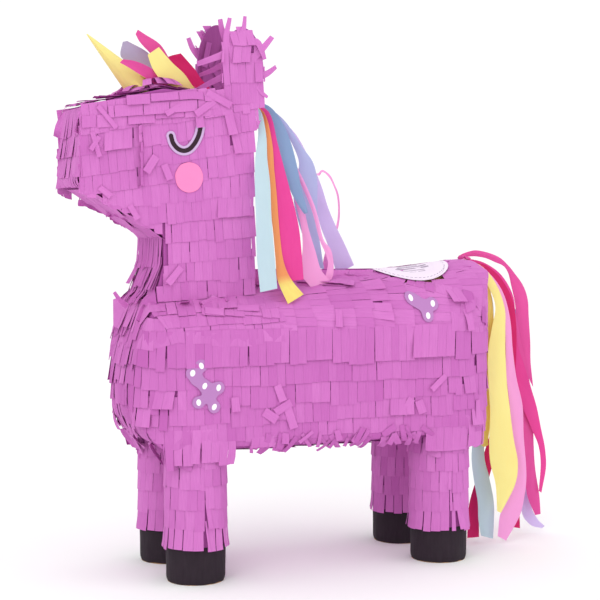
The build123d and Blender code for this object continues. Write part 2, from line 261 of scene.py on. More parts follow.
def surface_tree(names, extra=()):
    """Search tree over CAD nodes and extra flat polygons."""
    points, faces = [], []
    for polygon in extra:
        faces.append(tuple(range(len(points), len(points) + len(polygon))))
        points += [Vector(p) for p in polygon]
    for node_name in names:
        mesh = nodes[node_name].data
        first = len(points)
        points += [v.co / MM for v in mesh.vertices]
        faces += [tuple(first + i for i in face.vertices) for face in mesh.polygons]
    return BVHTree.FromPolygons(points, faces)


# Sizes that repeat the CAD's, in millimetres.
HEAD_X = 41.2
HEAD_OUTLINE = [  # edge of the paper on the side of the head, which hangs over the cardboard
    (-237, 419.5), (-165, 434.5), (-110, 430.5), (-75, 438), (-72, 422), (-81.5, 392), (-81.5, 225),
    (-181, 225), (-176, 244), (-167, 266), (-162, 284), (-160, 297), (-164, 306), (-186, 314.5),
    (-197, 323), (-216, 331.5), (-242, 343), (-242, 372), (-240, 398),
]
fins = [[(side * HEAD_X, y, z) for y, z in HEAD_OUTLINE[::-side]] for side in (1, -1)]
tree = surface_tree(backing, fins)
torso_tree = surface_tree(["chest_fringe", "barrel_fringe", "rump_fringe", "label_ring", "label_disc"])

ARCH_Z, ARCH_HALF = 216.0, 71  # springing line and half width of the bent cardboard on top
CROWNS = [(-215, 246), (23, 264), (140, 275), (180, 275)]  # Y and Z along its crown
EARS = {1: (-92.0, 447.0, 19.2, 38.2), -1: (-90.0, 453.0, 19.2, 43.2)}  # Y, Z, half width, rise
EAR_LEAN = 0.12
LEGS = [(side * 43.5, y) for y in (-138.0, 100.0) for side in (1, -1)]
TUBE_R = 26.2
LABEL = Vector((17.0, 83.0, 0.0))  # middle of the filling flap, seen from above
HANG_Y = 16.0
DOWN = Vector((0, 0, -1))


def crown_at(y):
    """Height of the cardboard's crown line along the body."""
    for (y0, z0), (y1, z1) in zip(CROWNS, CROWNS[1:]):
        if y0 <= y <= y1:
            return z0 + (z1 - z0) * (y - y0) / (y1 - y0)
    return CROWNS[-1][1]


def arch_point(x, y, grow):
    """Point on the back at x, y, raised by grow from the cardboard."""
    rise = crown_at(y) + grow - ARCH_Z
    return Vector((x, y, ARCH_Z + rise * math.sqrt(1 - (x / (ARCH_HALF + grow)) ** 2)))


def arch_normal(x, y):
    """Direction straight out of the back at x, y."""
    step = 0.5
    across = arch_point(x + step, y, 0) - arch_point(x - step, y, 0)
    along = arch_point(x, y + step, 0) - arch_point(x, y - step, 0)
    return across.cross(along).normalized()


LABEL_CENTRE = arch_point(LABEL.x, LABEL.y, 1.2)
LABEL_UP = arch_normal(LABEL.x, LABEL.y)
LABEL_SIDE = (Vector((1, 0, 0)) - LABEL_UP * LABEL_UP.x).normalized()
LABEL_AHEAD = LABEL_UP.cross(LABEL_SIDE)


def label_radius(spot):
    """Distance of a point from the label's axis."""
    off = Vector(spot) - LABEL_CENTRE
    return (off - LABEL_UP * off.dot(LABEL_UP)).length


def in_outline(y, z, outline):
    """True if a point lies in a closed outline."""
    inside = False
    for (y0, z0), (y1, z1) in zip(outline, outline[1:] + outline[:1]):
        if (z0 > z) != (z1 > z) and y < y0 + (z - z0) * (y1 - y0) / (z1 - z0):
            inside = not inside
    return inside


def in_ear(spot, grow):
    """True inside the oval of an ear, which leans back towards its tip."""
    y, z, half, rise = EARS[1 if spot.x > 0 else -1]
    y -= max(spot.z - z, 0) * EAR_LEAN
    return ((spot.y - y) / (half + grow)) ** 2 + ((spot.z - z) / (rise + grow)) ** 2 < 1


# ---- rows of fringe
class Row:
    """A line on the surface along which a strip of fringe is glued."""

    def __init__(self, samples):
        self.samples = samples
        self.marks = [0.0]
        for before, after in zip(samples, samples[1:]):
            self.marks.append(self.marks[-1] + (after[0] - before[0]).length)
        self.length = self.marks[-1]

    def at(self, along):
        """Point, outward direction and hanging direction at a distance along the row."""
        along = clamp(along, 0.0, self.length - 0.001)
        k = max(bisect.bisect_right(self.marks, along) - 1, 0)
        k = min(k, len(self.samples) - 2)
        share = (along - self.marks[k]) / max(self.marks[k + 1] - self.marks[k], 0.001)
        mixed = [a.lerp(b, share) for a, b in zip(self.samples[k], self.samples[k + 1])]
        return mixed[0], mixed[1].normalized(), mixed[2].normalized()


def spread(low, high, count):
    """Evenly spaced numbers from low to high."""
    return [low + (high - low) * k / (count - 1) for k in range(count)]


def cast_row(rays, down, surface=tree):
    """A row made where rays, given as (origin, direction), meet the surface."""
    samples = []
    for origin, direction in rays:
        spot, normal, index, distance = surface.ray_cast(Vector(origin), Vector(direction))
        if spot is None:
            continue
        if normal.dot(Vector(direction)) > 0:
            normal = -normal
        fall = down - normal * normal.dot(down)
        if fall.length > 0.05:
            samples.append((spot, normal, fall.normalized()))
    return Row(samples) if len(samples) > 1 else None


def lay(root, normal, down, reach, lift, tip_lift, lean, cling, droop, curl, steps):
    """Points down one line of a tab, which follows the surface or hangs clear of it."""
    across = normal.cross(down)
    ahead = (down + across * lean).normalized()
    column = [root + normal * lift]
    out = normal
    for i in range(1, steps + 1):
        t = i / steps
        ahead = (ahead + DOWN * droop + out * (curl * t)).normalized()
        spot = column[-1] + ahead * (reach / steps)
        near, face_normal, index, distance = tree.find_nearest(spot)
        gap = spot - near
        inside = gap.dot(face_normal) < 0
        out = face_normal if inside or distance < 0.05 else gap / distance
        want = lift + (tip_lift - lift) * t ** 1.4
        height = want if inside or distance < want else distance + (want - distance) * cling
        spot = near + out * height
        ahead = (spot - column[-1]).normalized()
        column.append(spot)
    return column


# Round the cheek, the eye and the two groups of dots: Y, Z and radius.
CALM = [(-142.5, 354, 19), (-145, 390, 22), (-138, 175, 27), (72, 237, 20)]
LABEL_CALM = 47
TAB_STEPS = 5
COLUMN_STEP = 4.5
SWAY = 0.02
NARROWEST, NARROWEST_CUT = 1.6, 0.7  # tabs thinner than this are left out
FLAT_TIP = 1.9  # height of a tab's tip where the fringe lies flat


def is_calm(spot):
    """True close to a sticker or the label, where the tabs lie flat."""
    if spot.z > 225 and label_radius(spot) < LABEL_CALM:
        return True
    return any(math.hypot(spot.y - y, spot.z - z) < radius for y, z, radius in CALM)


def trim(row, a, b, depth, allowed):
    """Cuts the stretch from a to b back to where tabs are allowed at a depth below the row."""
    def free(along):
        root, normal, down = row.at(along)
        return allowed(root + down * depth)

    first, last = free(a), free(b)
    if first == last:
        return a, b
    low, high = a, b
    for step in range(6):
        middle = (low + high) / 2
        low, high = (middle, high) if free(middle) == first else (low, middle)
    return (a, low) if first else (high, b)


def span(root, down, reach, allowed):
    """Where along its fall a tab starts and ends so that it stays where it is allowed."""
    first = last = None
    for step in range(int(reach) + 1):
        if allowed(root + down * step):
            first = step if first is None else first
            last = step
        elif first is not None:
            break
    return None if first is None else (first, last)


def tab(cloth, row, start, end, reach, lift, flare, lean, cling, droop, curl, skip, tint, shift):
    """Lays one tab between two places along a row."""
    columns = []
    count = max(2, round((end - start) / COLUMN_STEP))
    for j in range(count + 1):
        share = j / count
        root, normal, down = row.at(start + (end - start) * share)
        tip = flare[0] + (flare[1] - flare[0]) * share
        slid = root + (down + normal.cross(down) * lean).normalized() * skip
        columns.append(lay(slid, normal, down, reach, lift, tip, lean, cling, droop, curl, TAB_STEPS))
    cloth.grid(columns, end - start, reach, tint, shift)


def fringe(cloth, row, reach, rng, width=8.0, lift=1.35, flare=2.15, allowed=None, over=0.0,
           groups=(1, 2, 2, 3, 3, 4, 5), cling=0.9, droop=0.02, gap=0.28, wild=0.03, uneven=0.9,
           deep=0.0, shortest=5.0, bow=0.14):
    """Fills a row with tabs. Some neighbours stay stuck together as one wider flap."""
    along = -rng.uniform(0, width)
    while along < row.length - 1.5:
        count = rng.choice(groups)
        root, normal, down = row.at(along + width / 2)
        ragged = normal.y < -0.35 and 125 < root.z < 290  # the chest, where tabs stick out singly
        if ragged:
            count = rng.choice((1, 1, 2))
        group_lean = rng.gauss(0, SWAY)
        group_tip = flare + rng.gauss(0, bow)
        group_reach = reach + rng.gauss(0, uneven)
        # deep shifts all tabs of a row towards the deep tone; the body's side rows and the throat rows
        # use it for painted shade.
        group_tint = deep + rng.uniform(0.05, 0.38)
        if ragged:
            group_tip += rng.uniform(0, 1.6)
            group_reach += rng.uniform(0, 5)
            group_tint += rng.choice((0, 0.1, 0.35))
        group_curl = 0.0
        group_cling = cling
        if rng.random() < wild:
            group_lean += rng.uniform(-0.22, 0.22)
            group_tip += rng.uniform(0.8, 2.2)
            group_curl = rng.uniform(0, 0.12)
            group_cling = 0.3
            group_tint *= 0.4
        slope = rng.gauss(0, bow * 0.8)
        for k in range(count):
            wide = width * rng.uniform(0.88, 1.12)
            space = 0.13 if k < count - 1 else max(gap, 0.9) if ragged else gap
            a, b = max(along, 0.0), min(along + wide - space, row.length)
            along += wide
            if allowed and b > a:
                a, b = trim(row, a, b, reach - 8, allowed)
            if b - a < (NARROWEST_CUT if allowed else NARROWEST):
                continue
            skip, length = 0.0, group_reach + rng.gauss(0, 0.25)
            if allowed:
                root, normal, down = row.at((a + b) / 2)
                free = span(root, down, length, allowed)
                if free is None:
                    continue
                skip = float(free[0])
                length = free[1] - skip if free[1] < int(length) else length - skip
                if free[1] < int(reach) - 1:
                    length += over * rng.uniform(0.3, 1.0)
            if length < shortest:
                continue
            left = group_tip + slope * (k / count - 0.5) + rng.gauss(0, bow * 0.7)
            right = group_tip + slope * ((k + 1) / count - 0.5) + rng.gauss(0, bow * 0.7)
            lean, cling_here, curl = group_lean, group_cling, group_curl
            root, normal, down = row.at((a + b) / 2)
            if is_calm(root + down * (reach / 2)):
                lean, cling_here, curl, left, right = 0.0, 0.9, 0.0, FLAT_TIP, FLAT_TIP
            tab(cloth, row, a, b, length, lift, (max(left, lift + 0.2), max(right, lift + 0.2)),
                lean, cling_here, droop, curl, skip, clamp(group_tint + rng.gauss(0, 0.09)),
                (rng.uniform(0, 400), rng.uniform(0, 400)))


# ---- head fringe
head = Cloth()
rng = random.Random("head sides")


def head_ok(spot):
    """True over the side of the head or over an ear."""
    return in_outline(spot.y, spot.z, HEAD_OUTLINE) or in_ear(spot, 0.5)


def side_row(side, y0, y1, z, tilt):
    """A row on the flat side of the head; tilt in degrees raises it to the rear."""
    slope = math.tan(math.radians(tilt))
    cos, sin = round_way(tilt / 2)
    down = Vector((0, sin, -cos))
    samples = []
    for y in spread(y0, y1, 41):
        samples.append((Vector((side * HEAD_X, y, z + (y + 130) * slope)), Vector((side, 0, 0)), down))
    return Row(samples)


for side in (1, -1):
    for k in range(-1, 10):
        low = 246 + 17.8 * k
        tilt = 2 + 7 * clamp((low - 260) / 120)
        row = side_row(side, -240, -71, low + 26, tilt)
        fringe(head, row, 26, rng, allowed=head_ok, over=5.0, wild=0.03)
    for z in (494, 478, 461, 444) if side > 0 else (506, 490, 474, 459, 444):
        row = side_row(side, -112, -70, z, 3)
        fringe(head, row, 26, rng, allowed=lambda p: in_ear(p, 0.8), over=2.0,
               wild=0.15, groups=(1, 1, 2))


def top_of_head(y):
    """Height of the top edge of the head, which rises from the muzzle to the brow."""
    return 415.2 + (y + 233.2) * 15 / 68.2 if y < -165 else 430.2 - (y + 165) * 4 / 55


def across_rays(origin, direction, half=40.6):
    """Parallel rays side by side across the object, from one at X = 0."""
    return [((x, origin[1], origin[2]), direction) for x in spread(-half, half, 21)]


rng = random.Random("head bands")
for y in (-104, -122, -140, -158, -176, -194, -210, -222):
    row = cast_row(across_rays((0, y, 480), (0, 0, -1), 36), Vector((0, -1, 0)))
    clear = (lambda p: (p - Vector((0, -170, p.z))).length > 12) if y < -140 else None
    fringe(head, row, 14 if y < -212 else 26, rng, allowed=clear, flare=3.6, wild=0.2, bow=0.7,
           cling=0.75, groups=(1, 1, 2, 2, 3))
for z in (413, 396, 379, 362):
    row = cast_row(across_rays((0, -400, z), (0, 1, 0)), DOWN)
    fringe(head, row, 19 if z == 362 else 26, rng, flare=2.8, wild=0.1, bow=0.5, gap=0.7)
for y in (-231, -214, -197, -181):
    row = cast_row(across_rays((0, y, 265), (0, 0, 1)), Vector((0, 1, -0.6)))
    fringe(head, row, 23, rng, flare=2.4, wild=0.1)
# Rows down the throat and chest front take part of the deep tone: painted shade under the head, where the
# throat turns down from the light.
for z in (302, 285, 268, 252, 240):
    row = cast_row(across_rays((0, -300, z), (0, 1, 0)), DOWN)
    fringe(head, row, 28, rng, flare=3.2, groups=(1,), gap=1.1, width=7, cling=0.7, deep=0.3, bow=0.6)
for z in range(415, 255, -18):
    row = cast_row(across_rays((0, 100, z), (0, -1, 0)), DOWN)
    fringe(head, row, 26, rng, flare=2.3)

# Uncut flaps of the strips on top of the head fold over its side edges.
for side in (1, -1):
    for start_y, end_y, z, reach in ((-237, -112, 412, 9), (-214, -116, 419, 9), (-198, -122, 427, 8)):
        samples = []
        for y in spread(start_y, end_y, 30):
            height = min(z + (y + 160) * 0.09, top_of_head(y) + 0.6)
            samples.append((Vector((side * HEAD_X, y, height)), Vector((side, 0, 0)), DOWN))
        fringe(head, Row(samples), reach, rng, width=26, groups=(1,), lift=2.2, flare=3.5, gap=0.9,
               uneven=1.2, wild=0.1, deep=-0.1, bow=0.5)


def loose(cloth, side, y, z, angle, length, width, tip, tint, curl=0.03):
    """One loose tab on a side; angle in degrees turns it from straight down to the rear."""
    spot = Vector((side * 160, y, z))
    found = tree.ray_cast(spot, Vector((-side, 0, 0)))
    if found[0] is None or is_calm(spot):
        return
    cos, sin = round_way(angle)
    normal = found[1]
    fall = Vector((0, sin, -cos))
    fall = (fall - normal * normal.dot(fall)).normalized()
    across = normal.cross(fall)
    columns = []
    for share in (-0.5, 0, 0.5):
        root = found[0] + across * (width * share)
        columns.append(lay(root, normal, fall, length, 2.8, tip + share, 0, 0.4, 0, curl, 6))
    cloth.grid(columns, width, length, tint, (y, z))


for y, z, angle, length, width in (
    (-205, 428, -10, 30, 7), (-223, 414, 40, 24, 4), (-193, 436, -20, 24, 6), (-119, 421, -55, 22, 6),
    (-107, 413, 12, 22, 8), (-134, 414, 5, 17, 7), (-126, 428, 62, 24, 6), (-150, 416, -60, 16, 5),
    (-228, 392, 15, 22, 4), (-222, 388, -35, 14, 4), (-172, 372, -35, 17, 7), (-165, 365, 20, 14, 6),
    (-150, 276, -42, 19, 6), (-119, 250, -25, 22, 7), (-196, 330, 30, 14, 5), (-222, 345, 50, 12, 5),
):
    loose(head, 1, y, z, angle, length, width, tip=5.0, tint=rng.uniform(0, 0.15))
for k in range(16):
    loose(head, -1, rng.uniform(-225, -100), rng.uniform(355, 420), rng.uniform(-60, 60),
          rng.uniform(14, 26), rng.uniform(4, 8), tip=5.0, tint=rng.uniform(0, 0.15))

# ---- body fringe
# Centres of the round corners of the body, seen from above.
FRONT_X, FRONT_Y = 26, -146
REAR_X, REAR_Y = 15, 98
body = Cloth()
rng = random.Random("body")


def loop_rays(z):
    """Rays that meet the body all round at height z, starting at the rump's centre."""
    half = [((x, 300, z), (0, -1, 0)) for x in range(0, 15, 3)]
    for k in range(0, 91, 5):
        cos, sin = round_way(90 - k)
        half.append(((REAR_X + 200 * cos, REAR_Y + 200 * sin, z), (-cos, -sin, 0)))
    half += [((250, y, z), (-1, 0, 0)) for y in range(REAR_Y - 4, FRONT_Y, -4)]
    for k in range(0, 91, 5):
        cos, sin = round_way(-k)
        half.append(((FRONT_X + 200 * cos, FRONT_Y + 200 * sin, z), (-cos, -sin, 0)))
    half += [((x, -400, z), (0, 1, 0)) for x in range(24, -1, -3)]
    other = [((-o[0], o[1], o[2]), (-d[0], d[1], d[2])) for o, d in reversed(half)]
    return half + other


TOP_ROW, LOW_ROW = 222, 136
for root_z, reach in ((TOP_ROW, 32), (199, 26), (182, 26), (166, 26), (150, 25), (LOW_ROW, 17)):
    row = cast_row(loop_rays(root_z), DOWN, torso_tree)
    lift, flare = (2.3, 3.0) if root_z == TOP_ROW else (1.35, 2.5)
    # The rows round the sides take more of the deep tone than the back, and the lowest row takes the
    # most: painted shade on the flank, darkest at the lower edge that turns down from the light.
    wild, deep = (0.08, 0.4) if root_z == LOW_ROW else (0.05, 0.22)
    fringe(body, row, reach, rng, lift=lift, flare=flare, wild=wild, cling=0.85, droop=0.05,
           uneven=1.3, deep=deep)


def leg_distance(spot):
    """Level distance to the middle of the nearest leg."""
    return min(math.hypot(spot.x - x, spot.y - y) for x, y in LEGS)


def near_leg(spot):
    """True close to a leg, where the lowest row hangs down over its top."""
    return leg_distance(spot) < 40


row = cast_row(loop_rays(137), DOWN, torso_tree)
fringe(body, row, 32, rng, allowed=near_leg, lift=1.8, flare=2.6, cling=0.12, droop=0.3, uneven=2.0,
       groups=(1, 1, 2, 2, 3), wild=0.06)
for root_z in (262, 247, 233):
    rays = [r for r in loop_rays(root_z) if r[0][1] < -62]
    row = cast_row(rays, DOWN, torso_tree)
    fringe(body, row, 27, rng, flare=2.7, wild=0.08)
for root_z in (256, 239):
    rays = loop_rays(root_z)
    middle = len(rays) // 2
    rays = [r for r in rays[middle:] + rays[:middle] if r[0][1] >= REAR_Y]
    row = cast_row(rays, DOWN, torso_tree)
    fringe(body, row, 26, rng, flare=2.7, wild=0.08)
for side in (1, -1):
    for x in (42, 54):
        rays = [((side * x, y, 400), (0, 0, -1)) for y in range(-178, -60, 4)]
        row = cast_row(rays, DOWN, torso_tree)
        fringe(body, row, 24, rng, flare=2.3, wild=0.06)


def back_ok(spot):
    """True clear of the label and of the hanging hole."""
    return label_radius(spot) > 32 and math.hypot(spot.x, spot.y - HANG_Y) > 5


for y in range(-81, 140, 19):
    rays = []
    for k in range(4, 177, 4):
        cos, sin = round_way(k)
        rays.append(((200 * cos, y, ARCH_Z + 200 * sin), (-cos, 0, -sin)))
    row = cast_row(rays, Vector((0, 1, 0)), torso_tree)
    fringe(body, row, 27, rng, allowed=back_ok, flare=2.5, wild=0.04, groups=(1, 2, 2, 3, 4),
           shortest=2.0)


def belly_ok(spot):
    """True clear of the legs."""
    return leg_distance(spot) > 28


for y in range(-150, 130, 19):
    row = cast_row(across_rays((0, y, 20), (0, 0, 1), 56), Vector((0, 1, 0)), torso_tree)
    fringe(body, row, 26, rng, allowed=belly_ok, flare=2.6, wild=0.08)

for side in (1, -1):
    for k in range(18):
        y, z = rng.uniform(-150, 130), rng.choice((rng.uniform(150, 240), rng.uniform(135, 175)))
        loose(body, side, y, z, rng.gauss(0, 40), rng.uniform(12, 24), rng.uniform(5, 8.5),
              tip=rng.uniform(3.5, 5.5), tint=rng.uniform(0, 0.2))
    # Loose tabs along the lower edge take much of the deep tone: painted shade under the belly's rounded
    # edge.
    for k in range(40):
        y = rng.uniform(-112, 78)
        loose(body, side, y, rng.uniform(122, 132), rng.gauss(0, 26), rng.uniform(9, 20),
              rng.uniform(2.5, 6.5), tip=rng.uniform(2, 7), curl=-0.02, tint=rng.uniform(0.2, 0.8))

# ---- leg fringe
legs = Cloth()
rng = random.Random("legs")


def below_body(spot):
    return spot.z < 125


LEG_ROWS = dict(flare=2.2, gap=0.35, wild=0.05, cling=0.9, bow=0.18, groups=(1, 1, 2, 2, 3, 4))
LAST_ROW = dict(flare=3.4, gap=0.9, wild=0.1, cling=0.6, bow=0.45, groups=(1, 1, 2))
for leg_x, leg_y in LEGS:
    for low_z in (121, 103, 85, 67, 49, 31):
        samples = []
        for k in range(0, 361, 9):
            out = Vector((*round_way(k), 0))
            samples.append((Vector((leg_x, leg_y, low_z + 26)) + out * TUBE_R, out, DOWN))
        style = LAST_ROW if low_z == 31 else LEG_ROWS
        fringe(legs, Row(samples), 26, rng, allowed=below_body, **style)

made = []  # (piece, body, record slot, CAD nodes it stands for)


def keep(cloth, name, material, slot_name, *stands_for, owner="shell", thick=PAPER):
    made.append((cloth.build(name, material, thick), owner, slot_name, stands_for))


keep(head, "head_tabs", tissue, "purple_tissue")
keep(body, "body_tabs", tissue, "purple_tissue")
keep(legs, "leg_tabs", tissue, "purple_tissue")


# ---- ribbons
RIBBON_COLUMNS = 6
RIPPLE = 0.8  # depth of a ribbon's soft waves


def smooth_line(points, count):
    """Points along a Catmull-Rom curve through the given ones, evenly in parameter."""
    padded = [points[0] * 2 - points[1]] + points + [points[-1] * 2 - points[-2]]
    line = []
    for k in range(count + 1):
        place = k / count * (len(points) - 1)
        i = min(int(place), len(points) - 2)
        t = place - i
        p0, p1, p2, p3 = padded[i:i + 4]
        line.append(0.5 * (2 * p1 + (p2 - p0) * t + (2 * p0 - 5 * p1 + 4 * p2 - p3) * t * t
                           + (3 * p1 - p0 - 3 * p2 + p3) * t ** 3))
    return line


def ribbon_cloth(stations, seed, tint=None):
    """A strip between two edges. A station holds x, y, z of one edge and then of the other,
    and leaves out the second x where both are the same."""
    cloth = Cloth()
    count = 5 * (len(stations) - 1)
    first = smooth_line([Vector(s[:3]) for s in stations], count)
    second = smooth_line([Vector(s[3:] if len(s) == 6 else (s[0], *s[3:])) for s in stations], count)
    middle = [(a + b) / 2 for a, b in zip(first, second)]
    length = sum((b - a).length for a, b in zip(middle, middle[1:]))
    widths = [(b - a).length for a, b in zip(first, second)]

    def place(j, i):
        share = j / RIBBON_COLUMNS
        ahead = middle[min(i + 1, count)] - middle[max(i - 1, 0)]
        face = ahead.cross(second[i] - first[i])
        face = face.normalized() if face.length > 0.001 else Vector((1, 0, 0))
        wave = noise(Vector((share * 1.3 + seed * 7.1, i * 0.17, seed))) * RIPPLE
        bow = (share - 0.5) ** 2 * -1.6 * RIPPLE
        return first[i].lerp(second[i], share) + face * ((wave + bow) * min(i / 6, 1))

    cloth.weave(place, RIBBON_COLUMNS + 1, count + 1, max(widths), length, 0.25, (seed * 53, seed * 31))
    if tint:
        cloth.tints = [tint(k % (count + 1) / count) for k in range(len(cloth.points))]
    return cloth, sum(widths) / len(widths), length


# Pale and deep tone of each colour of ribbon.
RIBBON_TONES = {
    "mint_tissue": ((214, 234, 240), (192, 218, 228)),
    "orange_tissue": ((252, 246, 140), (243, 160, 104)),
    # Orange tissue is yellow paper; on the mane ribbon its orange deep tone is partly painted shade and
    # painted reflection.
    "hot_pink_tissue": ((244, 88, 176), (228, 60, 150)),
    "blue_grey_tissue": ((158, 186, 220), (136, 162, 206)),
    "pale_pink_tissue": ((250, 184, 234), (246, 162, 220)),
    "lilac_blue_tissue": ((200, 202, 238), (180, 188, 226)),
    "lilac_tissue": ((230, 212, 248), (214, 194, 238)),
    "yellow_tissue": ((255, 252, 176), (253, 236, 138)),
    "crimson_tissue": ((232, 46, 124), (208, 34, 106)),
    "magenta_tissue": ((242, 104, 184), (222, 72, 156)),
    "grey_tissue": ((206, 196, 222), (178, 168, 204)),
}
ribbon_looks = {
    name: paper(name, pale, deep, crepe=0.5, glow=0.28, rough=0.7, grain=(260, 60), depth=0.0002)
    for name, (pale, deep) in RIBBON_TONES.items()
}

# Stations of each ribbon, from its glued end to its free end.
mane_ribbons = {
    "mane_mint": [
        (8, -84, 421, 9, -79, 421), (26, -77, 414, 27, -71, 415), (36, -76, 396, 37, -69, 393),
        (46, -82, 372, -71, 371), (52, -85, 350, 53, -71, 348), (58, -86, 320, 59, -72, 320),
        (63, -87, 286, 64, -71, 286), (66, -85, 254, -69, 257)],
    "mane_orange": [
        (7, -82, 422, 8, -78, 422), (21, -68, 413, 23, -66, 413), (34, -69, 386, -62, 386),
        (42, -71, 362, -63, 362), (48, -71, 338, -63, 339), (54, -69, 310, -63, 311),
        (59, -68, 281, -61, 282), (61, -67, 264, -55, 266), (63, -58, 243, 60, -42, 251)],
    "mane_hot_pink": [
        (5, -80, 423, 7, -76, 423), (18, -66, 414, 19, -60, 414), (30, -65, 385, 31, -56, 386),
        (38, -65, 364, 39, -53, 365), (46, -63, 341, 47, -50, 343), (51, -63, 318, 52, -46, 322),
        (54, -63, 299, -43, 303), (56, -62, 262, 57, -41, 264)],
    "mane_blue_grey": [
        (4, -78, 424, 5, -74, 424), (9, -64, 419, 10, -57, 420), (14, -60, 404, 15, -46, 406),
        (20, -57, 383, 21, -39, 386), (28, -49, 360, 29, -36, 364), (33, -44, 342, 34, -34, 345),
        (37, -37, 328, 38, -31, 330), (38, -33, 322, 39, -30, 323)],
    "mane_pale_pink": [
        (2, -76, 425, 4, -72, 425), (7, -53, 405, 8, -47, 406), (14, -44, 368, 15, -36, 368),
        (22, -36, 334, 23, -29, 334), (29, -32, 308, 30, -25, 307), (34, -33, 288, -20, 287),
        (38, -37, 270, 36, -16, 272), (39, -27, 256, 35, -7, 262), (38, -17, 243, 34, 0.7, 252)],
    "mane_lilac_blue": [
        (1, -74, 425, 2, -70, 426), (3, -50, 415, 4, -41, 409), (5, -33, 388, 6, -24, 385),
        (7, -26, 368, 8, -13, 370), (8, -31, 352, 9, -9, 354), (9, -32, 336, 10, -9, 336),
        (10, -29, 319, 11, -9, 319), (11, -24, 302, 12, -8, 302), (12, -20, 289, -6, 288),
        (12, -13, 273, -3, 271)],
    "mane_lilac": [
        (-2, -72, 425, -1, -68, 426), (-6, -38, 404, -5, -29, 400), (-10, -18, 373, -9, -8, 370),
        (-11, -9, 347, -10, 3, 348), (-12, -2, 328, -11, 10, 328), (-13, 4, 308, 20, 308),
        (-14, 13, 288, 30, 290), (-14, 20, 265, 38, 273)],
    "mane_curl": [
        (6, -70, 425, 7, -67, 425), (16, -40, 372, 17, -36, 372), (24, -22, 330, 25, -18, 330),
        (29, -15, 300, -11, 300), (30, -10, 288, -4, 290), (31, -7, 278, 30, -1, 278),
        (32, -9, 268, 31, -2, 266), (32, -12, 261, 31, -6, 258)],
    "mane_loop": [
        (-4, -73, 425, -3, -70, 425), (-14, -28, 392, -13, -25, 390), (-20, -1, 361, -19, 1, 359),
        (-24, 9, 363, -23, 9, 361), (-26, 17, 359, -25, 16, 357), (-27, 23, 350, -26, 21, 349),
        (-28, 28, 338, 26, 338), (-28, 29, 322, 27, 322), (-28, 27, 308, -27, 24, 308),
        (-27, 22, 295, -24, 15, 294), (-24, 19, 280, -26, 12, 281), (-21, 18, 267, -26, 10, 268)],
}
